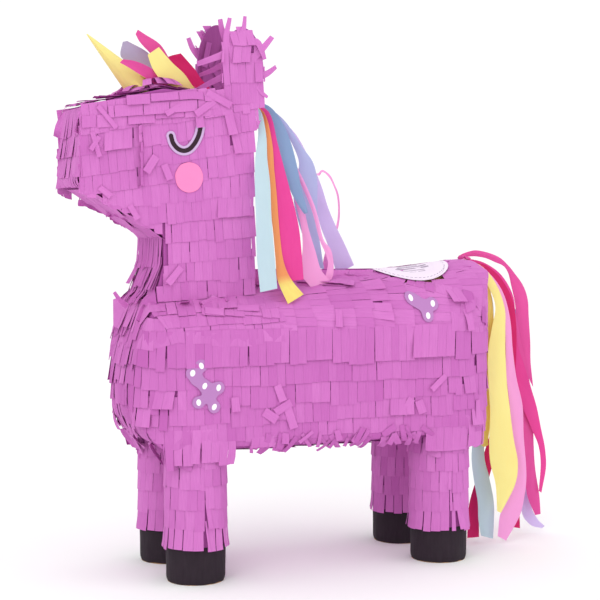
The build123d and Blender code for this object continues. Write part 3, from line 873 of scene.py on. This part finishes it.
tail_ribbons = {
    "tail_yellow": [
        (10, 141, 277, 8, 145, 278), (13, 156, 268, 12, 161, 271), (16, 166, 251, 174, 254),
        (19, 172, 232, 182, 231), (20, 167, 210, 182, 210), (21, 163, 186, 182, 186),
        (21, 164, 158, 184, 158), (21, 166, 130, 188, 130), (21, 165, 104, 192, 102),
        (22, 166, 82, 196, 80), (22, 172, 60, 193, 58), (22, 174, 34, 178, 32)],
    "tail_orange": [
        (4, 141, 277, 145, 278), (10, 154, 265, 160, 268), (13, 163, 245, 170, 246),
        (14, 166, 219, 173, 219), (14, 163, 184, 175, 184), (14, 160, 150, 173, 150),
        (14, 157, 122, 170, 122), (14, 157, 103, 168, 104), (14, 163, 96, 168, 98)],
    "tail_mint": [
        (5, 141, 277, 144, 277), (8, 155, 262, 160, 264), (8, 167, 240, 174, 241),
        (8, 168, 212, 176, 212), (8, 164, 176, 174, 176), (8, 158, 136, 170, 136),
        (8, 154, 104, 167, 104), (8, 153, 84, 167, 84), (8, 156, 62, 172, 66), (8, 160, 42, 178, 40),
        (8, 161, 24, 178, 21), (8, 164, 8, 177, 4)],
    "tail_light_pink": [
        (7, 141, 278, 144, 279), (9, 161, 265, 166, 268), (12, 176, 245, 183, 247),
        (14, 184, 219, 191, 219), (14, 186, 190, 194, 190), (14, 187, 165, 198, 163),
        (14, 191, 136, 205, 136), (14, 195, 105, 207, 104), (14, 201, 76, 210, 66),
        (15, 192, 48, 207, 41), (16, 181, 30, 201, 24), (16, 178, 8, 187, 3)],
    "tail_crimson": [
        (3, 144, 275, 144, 278), (1, 159, 269, 162, 274), (-1, 170, 264, 173, 271),
        (-3, 179, 252, 187, 261), (-4, 189, 241, 197, 249), (-4, 195, 228, 204, 234),
        (-4, 197, 215, 207, 216), (-4, 198, 200, 208, 200), (-4, 196, 170, 207, 169),
        (-4, 190, 136, 202, 134), (-4, 176, 96, 189, 95), (-4, 165, 62, 178, 61), (-4, 157, 36, 169, 36),
        (-4, 155, 4, 168, 4)],
    "tail_hot_pink": [
        (1, 149, 276, 148, 279), (-3, 169, 270, 171, 274), (-6, 187, 258, 192, 261),
        (-9, 200, 237, 207, 239), (-10, 202, 211, 210, 211), (-10, 201, 188, 213, 191),
        (-10, 202, 171, 220, 172), (-10, 207, 155, 228, 149), (-10, 217, 133, 235, 128),
        (-10, 229, 108, 241, 103), (-10, 237, 90, 245, 85), (-10, 240, 70, 246, 66),
        (-10, 238, 44, 241, 42)],
    "tail_rose": [
        (0, 148, 276, 152, 277), (-6, 180, 258, 185, 261), (-12, 204, 226, 209, 228),
        (-13, 211, 196, 218, 196), (-13, 216, 164, 226, 164), (-13, 219, 132, 232, 132),
        (-13, 221, 104, 233, 103), (-13, 223, 74, 235, 70), (-13, 226, 42, 240, 42),
        (-13, 236, 19, 242, 20)],
    "tail_magenta": [
        (-3, 142, 279, 143, 281), (-6, 154, 280, 152, 284), (-9, 165, 280, 165, 286),
        (-11, 177, 278, 181, 283), (-13, 188, 274, 194, 278), (-14, 198, 270, 203, 271),
        (-15, 204, 263, 210, 264), (-16, 208, 251, 221, 251), (-16, 212, 236, 227, 236),
        (-16, 214, 222, 228, 221), (-16, 217, 195, 230, 195), (-16, 222, 173, 231, 173),
        (-16, 231, 153, 234, 148)],
    "tail_lilac": [
        (-5, 143, 277, 147, 278), (-14, 183, 252, 191, 255), (-20, 212, 216, 220, 216),
        (-22, 220, 165, 230, 165), (-22, 224, 115, 236, 114), (-22, 225, 64, 238, 63),
        (-22, 225, 24, 236, 30), (-22, 235, 8, 243, 14), (-22, 249, 3, 252, 5)],
    "tail_dark_pink": [
        (-6, 144, 277, 148, 278), (-16, 186, 244, 193, 246), (-24, 206, 180, 214, 180),
        (-26, 210, 100, 219, 100), (-26, 214, 47, 224, 47), (-26, 216, 6, 226, 4)],
}
forelock_ribbons = {
    "forelock_grey": [
        (-6, -160, 432, -152, 430), (-6, -168, 446, -156, 442), (-6, -178, 454, -159, 452),
        (-6, -190, 461, -165, 465), (-6, -188, 474, -184, 475)],
    "forelock_pink": [
        (14, -158, 430, -150, 434), (14, -166, 437, -157, 442), (18, -178, 443, -170, 450),
        (20, -191, 450, -184, 455), (22, -198, 453, -195, 456)],
    "forelock_rose": [
        (2, -138, 430, -130, 432), (2, -146, 445, -138, 448), (3, -157, 456, -148, 460),
        (4, -166, 464, -157, 472), (4, -175, 473, -170, 480), (4, -179, 480, -177, 484)],
    "forelock_yellow": [
        (14, -134, 431, -123, 429), (16, -147, 434, -131, 436), (17, -158, 438, -139, 446),
        (18, -167, 448, -151, 456), (18, -172, 461, -162, 468)],
    "forelock_crimson": [
        (-3, -117, 429, -106, 433), (-6, -130, 439, -116, 444), (-8, -140, 450, -121, 452),
        (-9, -146, 461, -127, 459), (-9, -142, 464, -134, 466)],
}
groups = ((mane_ribbons, "mane"), (tail_ribbons, "tail"), (forelock_ribbons, "shell"))
# A ribbon is named for its colour, except these.
ribbon_slots = {
    "mane_loop": "pale_pink_tissue", "mane_curl": "pale_pink_tissue",
    "tail_light_pink": "pale_pink_tissue", "tail_rose": "magenta_tissue",
    "tail_dark_pink": "crimson_tissue", "forelock_pink": "magenta_tissue",
    "forelock_rose": "magenta_tissue",
}
for ribbons, owner in groups:
    for name in ribbons:
        ribbon_slots.setdefault(name, name.split("_", 1)[1] + "_tissue")
# How much of the deep tone shows along these two, which are orange at one share and yellow at none. The
# mane ribbon is yellow tissue: its orange along all but the last stretch is partly the double layer where
# it folds and partly painted shade and painted pink reflection where it is seen edge on.
orange_tint_and_shade = {
    "mane_orange": lambda t: 0.95 if t < 0.86 else 0.95 - 0.95 * min((t - 0.86) / 0.05, 1),
    "tail_orange": lambda t: 0.12,
}
streamers = []
for ribbons, owner in groups:
    for seed, (name, stations) in enumerate(ribbons.items()):
        cloth, mean_width, length = ribbon_cloth(stations, seed + 1.0, tint=orange_tint_and_shade.get(name))
        piece_name = name.replace("_", "-") if name in nodes else name
        piece = cloth.build(piece_name, ribbon_looks[ribbon_slots[name]])
        streamers.append((piece, owner, name, mean_width * MM, length * MM))

# ---- label over the filling flap
def film(name, base, deep, crepe=0.1, rough=0.4, grain=300, depth=0.00005):
    """Smooth printed paper that lets no light through."""
    return paper(name, base, deep, crepe, 0.0, rough, (grain, grain), depth)


label_paper = film("label_paper", (244, 232, 244), (226, 208, 232), 0.12, 0.55, 500, 0.0001)
label_print = film("label_print", (176, 160, 182), (146, 130, 156), 0.3, 0.6, 700, 0.0001)
RING_R, RING_IN, DISC_R, CHORD = 37.2, 31.1, 30.9, 24.0
RING_SHIFT = -5.6  # the label is stuck a little off the middle of the flap
FOLD_LIFT = 1.6  # height of the label at the fold, where it has to turn
FOLD_GAP = 1.6


def on_label(across, ahead, lift):
    """Point over the back, given in the label's own plane, at a height over the cardboard."""
    flat = LABEL_CENTRE + LABEL_SIDE * across + LABEL_AHEAD * ahead
    lift = FOLD_LIFT + (lift - FOLD_LIFT) * clamp((across + 22) / 14)
    return arch_point(flat.x, flat.y, lift)


def label_lift(radius):
    return 2.6 + 2.0 * clamp((radius - 12) / 14)


def polar(cloth, inner, outer, rings):
    """Ring between two outlines, each a radius that depends on the angle."""
    def place(k, i):
        angle = 2 * math.pi * k / 120
        cos, sin = cos_sin(angle)
        radius = max(inner(angle) + (outer(angle) - inner(angle)) * i / rings, 0.05)
        wave = 0.12 * noise(Vector((radius * 0.12 * cos, radius * 0.12 * sin, 4)))
        return on_label(radius * cos, radius * sin, label_lift(radius) + wave)

    cloth.weave(place, 121, rings + 1, 120, 30, 0.3)


def cut_at_chord(radius, chord):
    def limit(angle):
        return min(radius, chord / -math.cos(angle)) if math.cos(angle) < 0 else radius
    return limit


def rim(angle, radius=RING_R):
    """Distance from the flap's middle to a circle round the label's own middle."""
    return RING_SHIFT * math.cos(angle) + math.sqrt(radius ** 2 - (RING_SHIFT * math.sin(angle)) ** 2)


def print_mark(cloth, across, ahead, turn, length, width):
    """A small printed dash just over the label."""
    cos, sin = cos_sin(turn)

    def place(j, i):
        along, aside = i / 4 - 0.5, j - 0.5
        u = across + cos * along * length - sin * aside * width
        v = ahead + sin * along * length + cos * aside * width
        return on_label(u, v, label_lift(math.hypot(u, v)) + 0.13)

    cloth.weave(place, 2, 5, width, length, 0.4)


ring, disc, dashes, bars = Cloth(), Cloth(), Cloth(), Cloth()
polar(ring, cut_at_chord(RING_IN, CHORD + FOLD_GAP), rim, 5)
polar(disc, lambda angle: 0.0, cut_at_chord(DISC_R, CHORD), 10)
for k in range(44):
    angle = 2 * math.pi * k / 44
    radius = rim(angle, 33.6)
    cos, sin = cos_sin(angle)
    on_flap = radius < 30.5 and radius * cos > -CHORD
    print_mark(bars if on_flap else dashes, radius * cos, radius * sin, angle + math.pi / 2, 2.6, 0.6)
for across, ahead, length, width in (
    (-9, 0, 20, 2.0), (-4, 2, 30, 3.0), (2, 0, 34, 3.0), (8, -2, 24, 1.4), (12, 1, 16, 1.4),
):
    print_mark(bars, across, ahead, math.pi / 2, length, width)
keep(ring, "label_rim", label_paper, "label_paper", "label_ring", thick=0.2)
keep(disc, "label_face", label_paper, "label_paper", "label_disc", owner="fill_flap", thick=0.2)
keep(dashes, "label_dashes", label_print, "label_paper", thick=0.03)
keep(bars, "label_bars", label_print, "label_paper", owner="fill_flap", thick=0.03)

# ---- stickers
STICKER_X = 43.7  # the stickers on the head lie on top of the tabs
CHEEK_Y, CHEEK_Z, CHEEK_R = -142.5, 354, 12.6
lilac_film = film("sticker_backing", (206, 176, 216), (190, 158, 202), rough=0.45)
dot_film = film("dot_backing", (184, 128, 188), (174, 118, 178))
black_film = film("sticker_black", (52, 26, 42), (38, 18, 32), crepe=0.2)
white_film = film("sticker_white", (248, 244, 250), (236, 226, 242))
cheek_film = film("cheek_paper", (251, 142, 196), (243, 122, 180), 0.35, 0.7, 600, 0.0001)


def stroke(cloth, line, width, side, rise):
    """A round-ended band along a line on the side of the head."""
    half, last = width / 2, len(line) - 1
    stations = []
    for i, spot in enumerate(line):
        ahead = (line[min(i + 1, last)] - line[max(i - 1, 0)]).normalized()
        across = Vector((-ahead.y, ahead.x, 0))
        cap = [math.pi / 2 * k / 6 for k in range(1, 7)]
        round_end = [(half * math.sin(turn), max(math.cos(turn), 0.03)) for turn in cap]
        if i == 0:
            stations += [(spot - ahead * off, across, share) for off, share in reversed(round_end)]
        stations.append((spot, across, 1.0))
        if i == last:
            stations += [(spot + ahead * off, across, share) for off, share in round_end]

    def place(j, i):
        spot, across, share = stations[i]
        edge = spot + across * ((j / 3 - 1) * half * share)
        wave = 0.15 * noise(Vector((edge.x * 0.1, edge.y * 0.1, side)))
        return Vector((side * (STICKER_X + rise + wave), edge.x, edge.y))

    cloth.weave(place, 7, len(stations), width, len(line), 0.3)


def cheek(cloth, side):
    """A round patch with a slightly uneven edge."""
    def place(k, i):
        cos, sin = cos_sin(2 * math.pi * k / 60)
        edge = CHEEK_R + 0.35 * noise(Vector((2 * cos, 2 * sin, side)))
        radius = max(edge * i / 6, 0.03)
        y, z = CHEEK_Y + radius * cos, CHEEK_Z + radius * 1.04 * sin
        wave = 0.2 * noise(Vector((y * 0.15, z * 0.15, side)))
        return Vector((side * (STICKER_X + wave), y, z))

    cloth.weave(place, 61, 7, 80, 12.5, 0.3)


eye_curve = smooth_line([
    Vector((y, z, 0)) for y, z in (
        (-158.8, 389.8), (-157, 383.8), (-153, 379), (-147.6, 377), (-142.1, 378.6), (-137.3, 383.8),
        (-134, 390), (-132.1, 397))
], 42)
eye_backs, eye_marks, cheeks = Cloth(), Cloth(), Cloth()
for side in (1, -1):
    stroke(eye_backs, eye_curve, 8.2, side, 0.0)
    stroke(eye_marks, eye_curve, 3.9, side, 0.16)
    cheek(cheeks, side)
keep(eye_backs, "eye_backings", lilac_film, "sticker_backing", "eye_patches")
keep(eye_marks, "eye_strokes", black_film, "sticker_black", "eye_lines")
keep(cheeks, "cheek_spots", cheek_film, "cheek_paper", "cheek_dots")

FRONT_DOTS = [(-149.5, 186.5), (-142, 192.5), (-139, 175), (-126.5, 173), (-144.5, 161), (-130.5, 156.5)]
REAR_DOTS = [(61, 244), (81, 239), (74, 229)]
FRONT_FILM = FRONT_DOTS + [(-145.5, 180.5), (-135, 166), (-133, 170)]
REAR_FILM = REAR_DOTS + [(72, 237), (66, 241)]
FILM_R, FILM_BRIDGE, FILM_LIFT = 5.4, 1.4, 2.9
DOT_WIDE, DOT_HIGH, DOT_LIFT = 2.1, 2.9, 3.08  # half width, half height, height over the flank


def dot_place(side, y, z, lift):
    """Point over the flank or the side of the back at y, z, found on the surface."""
    spot, normal, index, distance = torso_tree.ray_cast(Vector((side * 150, y, z)), Vector((-side, 0, 0)))
    return spot + normal * lift


def blob(cloth, side, spots):
    """One film cut round a group of spots: a smooth outline at a margin from all of them."""
    def field(u, v):
        total = 0.0
        for y, z in spots:
            total += math.exp(-((u - y) ** 2 + (v - z) ** 2) / (FILM_R * FILM_R) * FILM_BRIDGE)
        return total - math.exp(-FILM_BRIDGE)

    low_u, low_v = min(p[0] for p in spots) - 9, min(p[1] for p in spots) - 9
    count_u = int(max(p[0] for p in spots) + 9 - low_u)
    count_v = int(max(p[1] for p in spots) + 9 - low_v)
    step, known = 0.75, {}
    cells_u, cells_v = int(count_u / step), int(count_v / step)

    def corner(i, j):
        if (i, j) in known:
            return known[(i, j)]
        u, v = low_u + i * step, low_v + j * step
        if field(u, v) < 0:
            for k in range(4):
                value, tiny = field(u, v), 0.05
                du = (field(u + tiny, v) - value) / tiny
                dv = (field(u, v + tiny) - value) / tiny
                size = max(du * du + dv * dv, 1e-9)
                move = min(abs(value) / math.sqrt(size), step) / math.sqrt(size)
                u, v = u - math.copysign(move, value) * du, v - math.copysign(move, value) * dv
        known[(i, j)] = len(cloth.points)
        cloth.points.append(dot_place(side, u, v, FILM_LIFT))
        cloth.uvs.append((u * MM, v * MM))
        cloth.tints.append(0.3)
        return known[(i, j)]

    for i in range(cells_u):
        for j in range(cells_v):
            corners = ((i, j), (i + 1, j), (i + 1, j + 1), (i, j + 1))
            if any(field(low_u + a * step, low_v + b * step) >= 0 for a, b in corners):
                cloth.faces.append(tuple(corner(a, b) for a, b in corners))


def oval(cloth, side, y, z, turn):
    """One dot, turned a little."""
    def place(k, i):
        cos, sin = cos_sin(2 * math.pi * k / 24)
        share = max(i / 3, 0.01)
        u, v = DOT_WIDE * share * cos, DOT_HIGH * share * sin
        cos, sin = cos_sin(turn)
        return dot_place(side, y + u * cos - v * sin, z + u * sin + v * cos, DOT_LIFT)

    cloth.weave(place, 25, 4, 16, 3, 0.3)


dot_backs, dot_marks = Cloth(), Cloth()
rng = random.Random("dots")
for side in (1, -1):
    blob(dot_backs, side, FRONT_FILM)
    blob(dot_backs, side, REAR_FILM)
    for y, z in FRONT_DOTS + REAR_DOTS:
        oval(dot_marks, side, y, z, rng.uniform(-0.5, 0.5))
keep(dot_backs, "dot_backings", dot_film, "sticker_backing", "dot_patches")
keep(dot_marks, "dot_spots", white_film, "sticker_white", "dot_ovals")

# ---- horn
horn_paper = paper("horn_paper", (255, 250, 168), (253, 226, 124), 0.4, 0.25, 0.55, (200, 90), 0.0002)
HORN_BASE, HORN_TIP, HORN_R = Vector((0, -167, 425)), Vector((0, -222, 479)), 13.4
horn_axis = (HORN_TIP - HORN_BASE).normalized()
horn_side = Vector((1, 0, 0))
horn_front = horn_side.cross(horn_axis)


def on_horn(share, angle, grow):
    """Point of the rolled cone; share runs from the base at 0 to the tip at 1."""
    radius = HORN_R * (1 - share) ** 0.95 + grow
    spot = HORN_BASE.lerp(HORN_TIP, share)
    return spot + (horn_side * math.cos(angle) + horn_front * math.sin(angle)) * radius


def rolled_sheet(k, i):
    """Point of the sheet that is rolled a little more than once round."""
    return on_horn(-0.16 + 1.155 * i / 24, -0.4 + (2 * math.pi + 0.9) * k / 60, 0.5 * k / 60)


horn = Cloth()
horn.weave(rolled_sheet, 61, 25, 90, 70, 0.25)
# The cut foot of the cone is spread out in six tongues, which take more of the deep tone than the cone:
# painted shade at the horn's foot.
for k, (angle, spread_out) in enumerate(((0.3, 9), (1.2, 6), (2.1, 8), (3.2, 10), (4.2, 12), (5.3, 11))):
    horn.weave(lambda j, i: on_horn(0.26 - 0.2 * i / 5, angle + (j - 1.5) * 0.2,
                                    0.9 + spread_out * (i / 5) ** 2),
               4, 6, 10, 14, 0.45, (k * 20, 0))
keep(horn, "rolled_horn", horn_paper, "horn_paper", "horn", thick=0.2)

# ---- hooves
hoof_paper = paper("hoof_paper", (50, 38, 48), (34, 25, 33), 0.9, 0.0, 0.8, (300, 60))
HOOF_R, HOOF_HIGH = 25.9, 33.0
hooves = Cloth()


def wrap(cloth, k, leg_x, leg_y):
    """Paper wound once round the foot of a leg, with creases and a lapped end."""
    def place(j, i):
        cos, sin = cos_sin(2 * math.pi * j / 80 + 2.0)
        z = 0.25 + HOOF_HIGH * i / 14
        crease = 0.35 * noise(Vector((cos * 3.2, sin * 3.2, z * 0.02 + k * 9)))
        lap = 0.35 if j > 78 else 0.0
        radius = HOOF_R + crease + lap - 1.2 * (1 - min(i / 2, 1)) ** 2 + 0.5 * (i / 14) ** 3
        return Vector((leg_x + radius * cos, leg_y + radius * sin, z))

    cloth.weave(place, 85, 15, 166, 33, 0.3, (k * 170, 0))


for k, (leg_x, leg_y) in enumerate(LEGS):
    wrap(hooves, k, leg_x, leg_y)
keep(hooves, "hoof_papers", hoof_paper, "hoof_paper", "hoof_wraps", thick=0.5)

# ---- ears: inner lining, in darker tissue that paints the shade in the hollow of each ear
# The lining is the tissue in a darker tone: painted shade on the hollow inner faces of the ears. The
# sheets take more of the deep tone than the loose strips.
lining_paper = paper("lining_paper", (192, 100, 180), (146, 62, 132), glow=0.25)
lining = Cloth()
LINING_X, STRIP_X = 37.3, 36.2


def ear_sheet(cloth, side):
    """Oval sheet on the inner face of an ear, creased towards its foot."""
    ear_y, ear_z, ear_half, ear_rise = EARS[side]

    def place(k, i):
        cos, sin = cos_sin(2 * math.pi * k / 48)
        share = max(i / 8, 0.01)
        y = ear_y + (ear_half - 0.2) * share * cos
        z = max(ear_z + (ear_rise - 0.2) * share * sin, 428)
        fold = 0.5 * noise(Vector((math.atan2(z - 425, y - ear_y) * 4, share, side))) * share
        return Vector((side * (LINING_X + fold), y, z))

    cloth.weave(place, 49, 9, 90, 30, 0.55)


def ear_strip(cloth, side, k):
    """One loose strip inside an ear."""
    ear_y, ear_z, ear_half, ear_rise = EARS[side]
    y = ear_y - ear_half * 0.8 + ear_half * 1.5 * rng.random()
    z = ear_z + rng.uniform(-12, 0.75 * ear_rise)
    wide, long, turn = rng.uniform(5, 9), rng.uniform(14, 24), rng.uniform(-0.5, 0.9)
    ahead = Vector((0, math.sin(turn), -math.cos(turn)))
    across = ahead.cross(Vector((1, 0, 0)))

    def place(j, i):
        off = (j - 1) / 2
        spot = Vector((0, y, z)) + across * (wide * off) + ahead * (long * i / 5)
        lift = STRIP_X - 2.4 * (i / 5) ** 2 - 0.5 * off
        return Vector((side * lift, clamp(spot.y, ear_y - 16, ear_y + 15), max(spot.z, 429)))

    cloth.weave(place, 3, 6, wide, long, rng.uniform(0.0, 0.5), (k * 17, 0))


for side in (1, -1):
    ear_sheet(lining, side)
rng = random.Random("ear strips")
for side in (1, -1):
    for k in range(9):
        ear_strip(lining, side, k)
keep(lining, "ear_linings", lining_paper, "lining_paper", "ear_lining")

# ---- tabs round the foot of the horn
collar = Cloth()
rng = random.Random("horn collar")
for k in range(26):
    angle = 2 * math.pi * (k + rng.uniform(-0.3, 0.3)) / 26
    out = Vector((math.cos(angle), math.sin(angle), 0))
    along = Vector((-out.y, out.x, 0))
    root = Vector((0, -168, 428.5)) + out * 10.5
    wide, long, rise = rng.uniform(6, 9), rng.uniform(16, 24), rng.uniform(4, 11)

    def arched(j, i):
        off, t = (j - 1) / 2, i / 6
        spot = root + out * (long * t) + along * (wide * off * (1 + 0.3 * t))
        spot.z = top_of_head(spot.y) + 1.5 + rise * math.sin(math.pi * (0.1 + 0.75 * t)) - 0.5 * abs(off)
        return spot

    collar.weave(arched, 3, 7, wide, long, rng.uniform(0.05, 0.45), (k * 23, k * 11))
keep(collar, "horn_collar", tissue, "purple_tissue")


# ---- knots of the mane and tail
def pleated_bow(centre, half_wide, half_deep, high, loops):
    """A knot of tissue: a tight pleated band with loops fanned out to both sides."""
    cloth = Cloth()
    shares = (0.03, 0.6, 0.9, 1.0, 1.0, 1.0, 0.9, 0.6, 0.03)

    def band(k, i):
        angle = 2 * math.pi * k / 48
        pleat = 1 + 0.1 * math.sin(9 * angle)
        return centre + Vector((half_wide * 0.45 * shares[i] * pleat * math.cos(angle),
                                half_deep * shares[i] * pleat * math.sin(angle),
                                high * math.sin(math.pi * (i / 8 - 0.5)) * 0.5))

    cloth.weave(band, 49, 9, 40, 10, 0.3)
    for k, (turn, long) in enumerate(loops):
        ahead = Vector((math.cos(turn), math.sin(turn) * half_deep / half_wide, 0))

        def loop(j, i):
            off, t = (j - 1) / 2, i / 10
            bulge = math.sin(math.pi * t)
            out = ahead * (long * bulge ** 0.8 * (1 if t < 0.5 else 0.9))
            rise = Vector((0, 0, (t - 0.5) * high * 0.9))
            return centre + out + rise + Vector((0, 1, 0)) * (off * 5 * bulge)

        cloth.weave(loop, 3, 11, 6, 26, 0.15 + 0.1 * k, (k * 19, 0))
    return cloth


mane_bow = pleated_bow(Vector((0, -81.5, 413)), 10.5, 4.2, 8, ((0.1, 10), (3.04, 10)))
keep(mane_bow, "mane_tie", tissue, "purple_tissue", "mane_knot", owner="mane")
tail_bow = pleated_bow(Vector((0, 146.5, 279)), 10.5, 4.6, 5, ((0.15, 10.5), (0.5, 9), (2.9, 10.5)))
keep(tail_bow, "tail_tie", ribbon_looks["magenta_tissue"], "magenta_tissue", "tail_knot", owner="tail")


# ---- stray strands
def strand(cloth, points, widths, twist):
    """A loose curled strand through points, lying roughly in the plane of the side."""
    line = smooth_line([Vector(p) for p in points], 12)
    columns = [[], []]
    for i, spot in enumerate(line):
        ahead = line[min(i + 1, 12)] - line[max(i - 1, 0)]
        across = ahead.cross(Vector((1, 0, 0))).normalized()
        turn = twist * i / 12
        across = across * math.cos(turn) + Vector((1, 0, 0)) * math.sin(turn)
        wide = widths[0] + (widths[1] - widths[0]) * i / 12
        columns[0].append(spot - across * (wide / 2))
        columns[1].append(spot + across * (wide / 2))
    cloth.grid(columns, 6, 25, 0.1)


strands = Cloth()
for points, widths, twist in (
    ([(30, -104, 474), (31, -108, 484), (32, -110, 493)], (6, 4), 0.3),
    ([(42.5, -106, 462), (43, -108, 476), (44, -105, 493)], (7, 3.5), 0.2),
    ([(42.5, -96, 474), (43, -92, 484), (44, -91, 495)], (6, 3.5), -0.3),
    ([(42.5, -90, 472), (44, -80, 473), (45, -76, 466), (45, -73, 458)], (7, 5.5), 0.6),
    ([(42.5, -86, 456), (44, -76, 466), (45, -66, 478)], (7, 4.5), 0.5),
    ([(42.5, -80, 442), (43, -70, 446), (44, -62, 452)], (7, 4), -0.4),
    ([(42.5, -80, 437), (43, -75, 429), (44, -70, 425)], (5, 3), 0.4),
    ([(42.5, -104, 464), (40, -116, 459), (34, -132, 453)], (7, 5), 0.5),
    ([(37, -102, 457), (20, -112, 450), (2, -120, 446)], (6, 4), 0.6),
    ([(37, -106, 444), (22, -116, 438), (10, -125, 432)], (6, 4), -0.4),
    ([(-42.5, -104, 464), (-43, -112, 474), (-44, -116, 484)], (6, 4), 0.3),
    ([(-42.5, -84, 460), (-44, -74, 470), (-45, -66, 478)], (7, 4), -0.3),
    ([(0, -187, 240), (0, -194, 246), (0, -199, 253)], (5, 3), 0.2),
):
    strand(strands, points, widths, twist)
keep(strands, "stray_strands", tissue, "purple_tissue")

# ---- camera, light and floor
camera_data = bpy.data.cameras.new("camera")
camera = add_object("camera", camera_data)
bpy.context.scene.camera = camera
# The camera looks at the left side a little from the front, from about 1.4 m away.
camera_data.lens = 92.6
camera_data.sensor_width = 36
azimuth, elevation = math.radians(68.92), math.radians(3.52)
level = math.cos(elevation)
back = Vector((math.sin(azimuth) * level, -math.cos(azimuth) * level, math.sin(elevation)))
camera.location = Vector((1.3336, -0.5365, 0.3300))
camera.rotation_mode = "QUATERNION"
camera.rotation_quaternion = (-back).to_track_quat("-Z", "Y")
bpy.context.scene.view_settings.view_transform = "Standard"


def soft_box(name, place, size, power):
    """A large square studio light aimed at the middle of the object."""
    data = bpy.data.lights.new(name, "AREA")
    data.shape = "SQUARE"
    data.size = size
    data.energy = power
    lamp = add_object(name, data)
    lamp.location = place
    lamp.rotation_mode = "QUATERNION"
    lamp.rotation_quaternion = (Vector((0, 0, 0.25)) - Vector(place)).to_track_quat("-Z", "Y")


soft_box("key", (1.5, -1.3, 1.7), 1.1, 9)
soft_box("fill", (1.2, 1.5, 0.9), 1.3, 4)

world = bpy.data.worlds.new("studio")
world.use_nodes = True
background = world.node_tree.nodes["Background"]
background.inputs["Color"].default_value = (1, 1, 1, 1)
background.inputs["Strength"].default_value = 1.06
bpy.context.scene.world = world

floor_kit = Nodes("pale_floor")
floor_grain = floor_kit.noise(floor_kit.add("ShaderNodeTexCoord").outputs["Object"], 3.0, 2.0, 0.5)
floor_shader = floor_kit.add("ShaderNodeBsdfPrincipled", {
    "Base Color": floor_kit.blend(floor_grain, (0.965, 0.965, 0.965, 1), (0.985, 0.985, 0.985, 1)),
    "Roughness": 0.9, "Specular IOR Level": 0.1,
})
floor_mesh = bpy.data.meshes.new("floor")
floor_mesh.from_pydata([(-8, -8, 0), (8, -8, 0), (8, 8, 0), (-8, 8, 0)], [], [(0, 1, 2, 3)])
floor_mesh.materials.append(floor_kit.finish(floor_shader.outputs["BSDF"]))
floor = add_object("floor", floor_mesh)
floor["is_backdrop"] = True

# ---- bodies, hidden CAD parts, underlays and card
for piece, owner, slot_name, stood_for in made:
    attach(piece, owner)
    if stood_for:
        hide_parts(*stood_for)

for piece, owner, name, mean_width, length in streamers:
    if name in nodes:
        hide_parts(name)
    flat_width = max(mean_width * 1.15, 0.0101)
    max(mean_width, 0.31 * flat_width) * length
    if owner == "mane":
        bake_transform(piece)
    elif owner == "tail":
        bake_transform(piece)
    else:
        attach(piece, "shell")

# Copies of the CAD fringe skins lie under the tabs in the darker tissue, which paints the shade seen
# through the gaps.
for name in skins:
    under_mesh = nodes[name].data.copy()
    under = add_object(name.replace("fringe", "underlay"), under_mesh)
    under_mesh.materials.clear()
    under_mesh.materials.append(tissue_painted_shade)
    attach(under, "shell")
    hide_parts(name)

for node in nodes.values():
    if node.hide_render:
        continue
    for slot in node.material_slots:
        slot.link = "OBJECT"
        slot.material = card

low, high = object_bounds()
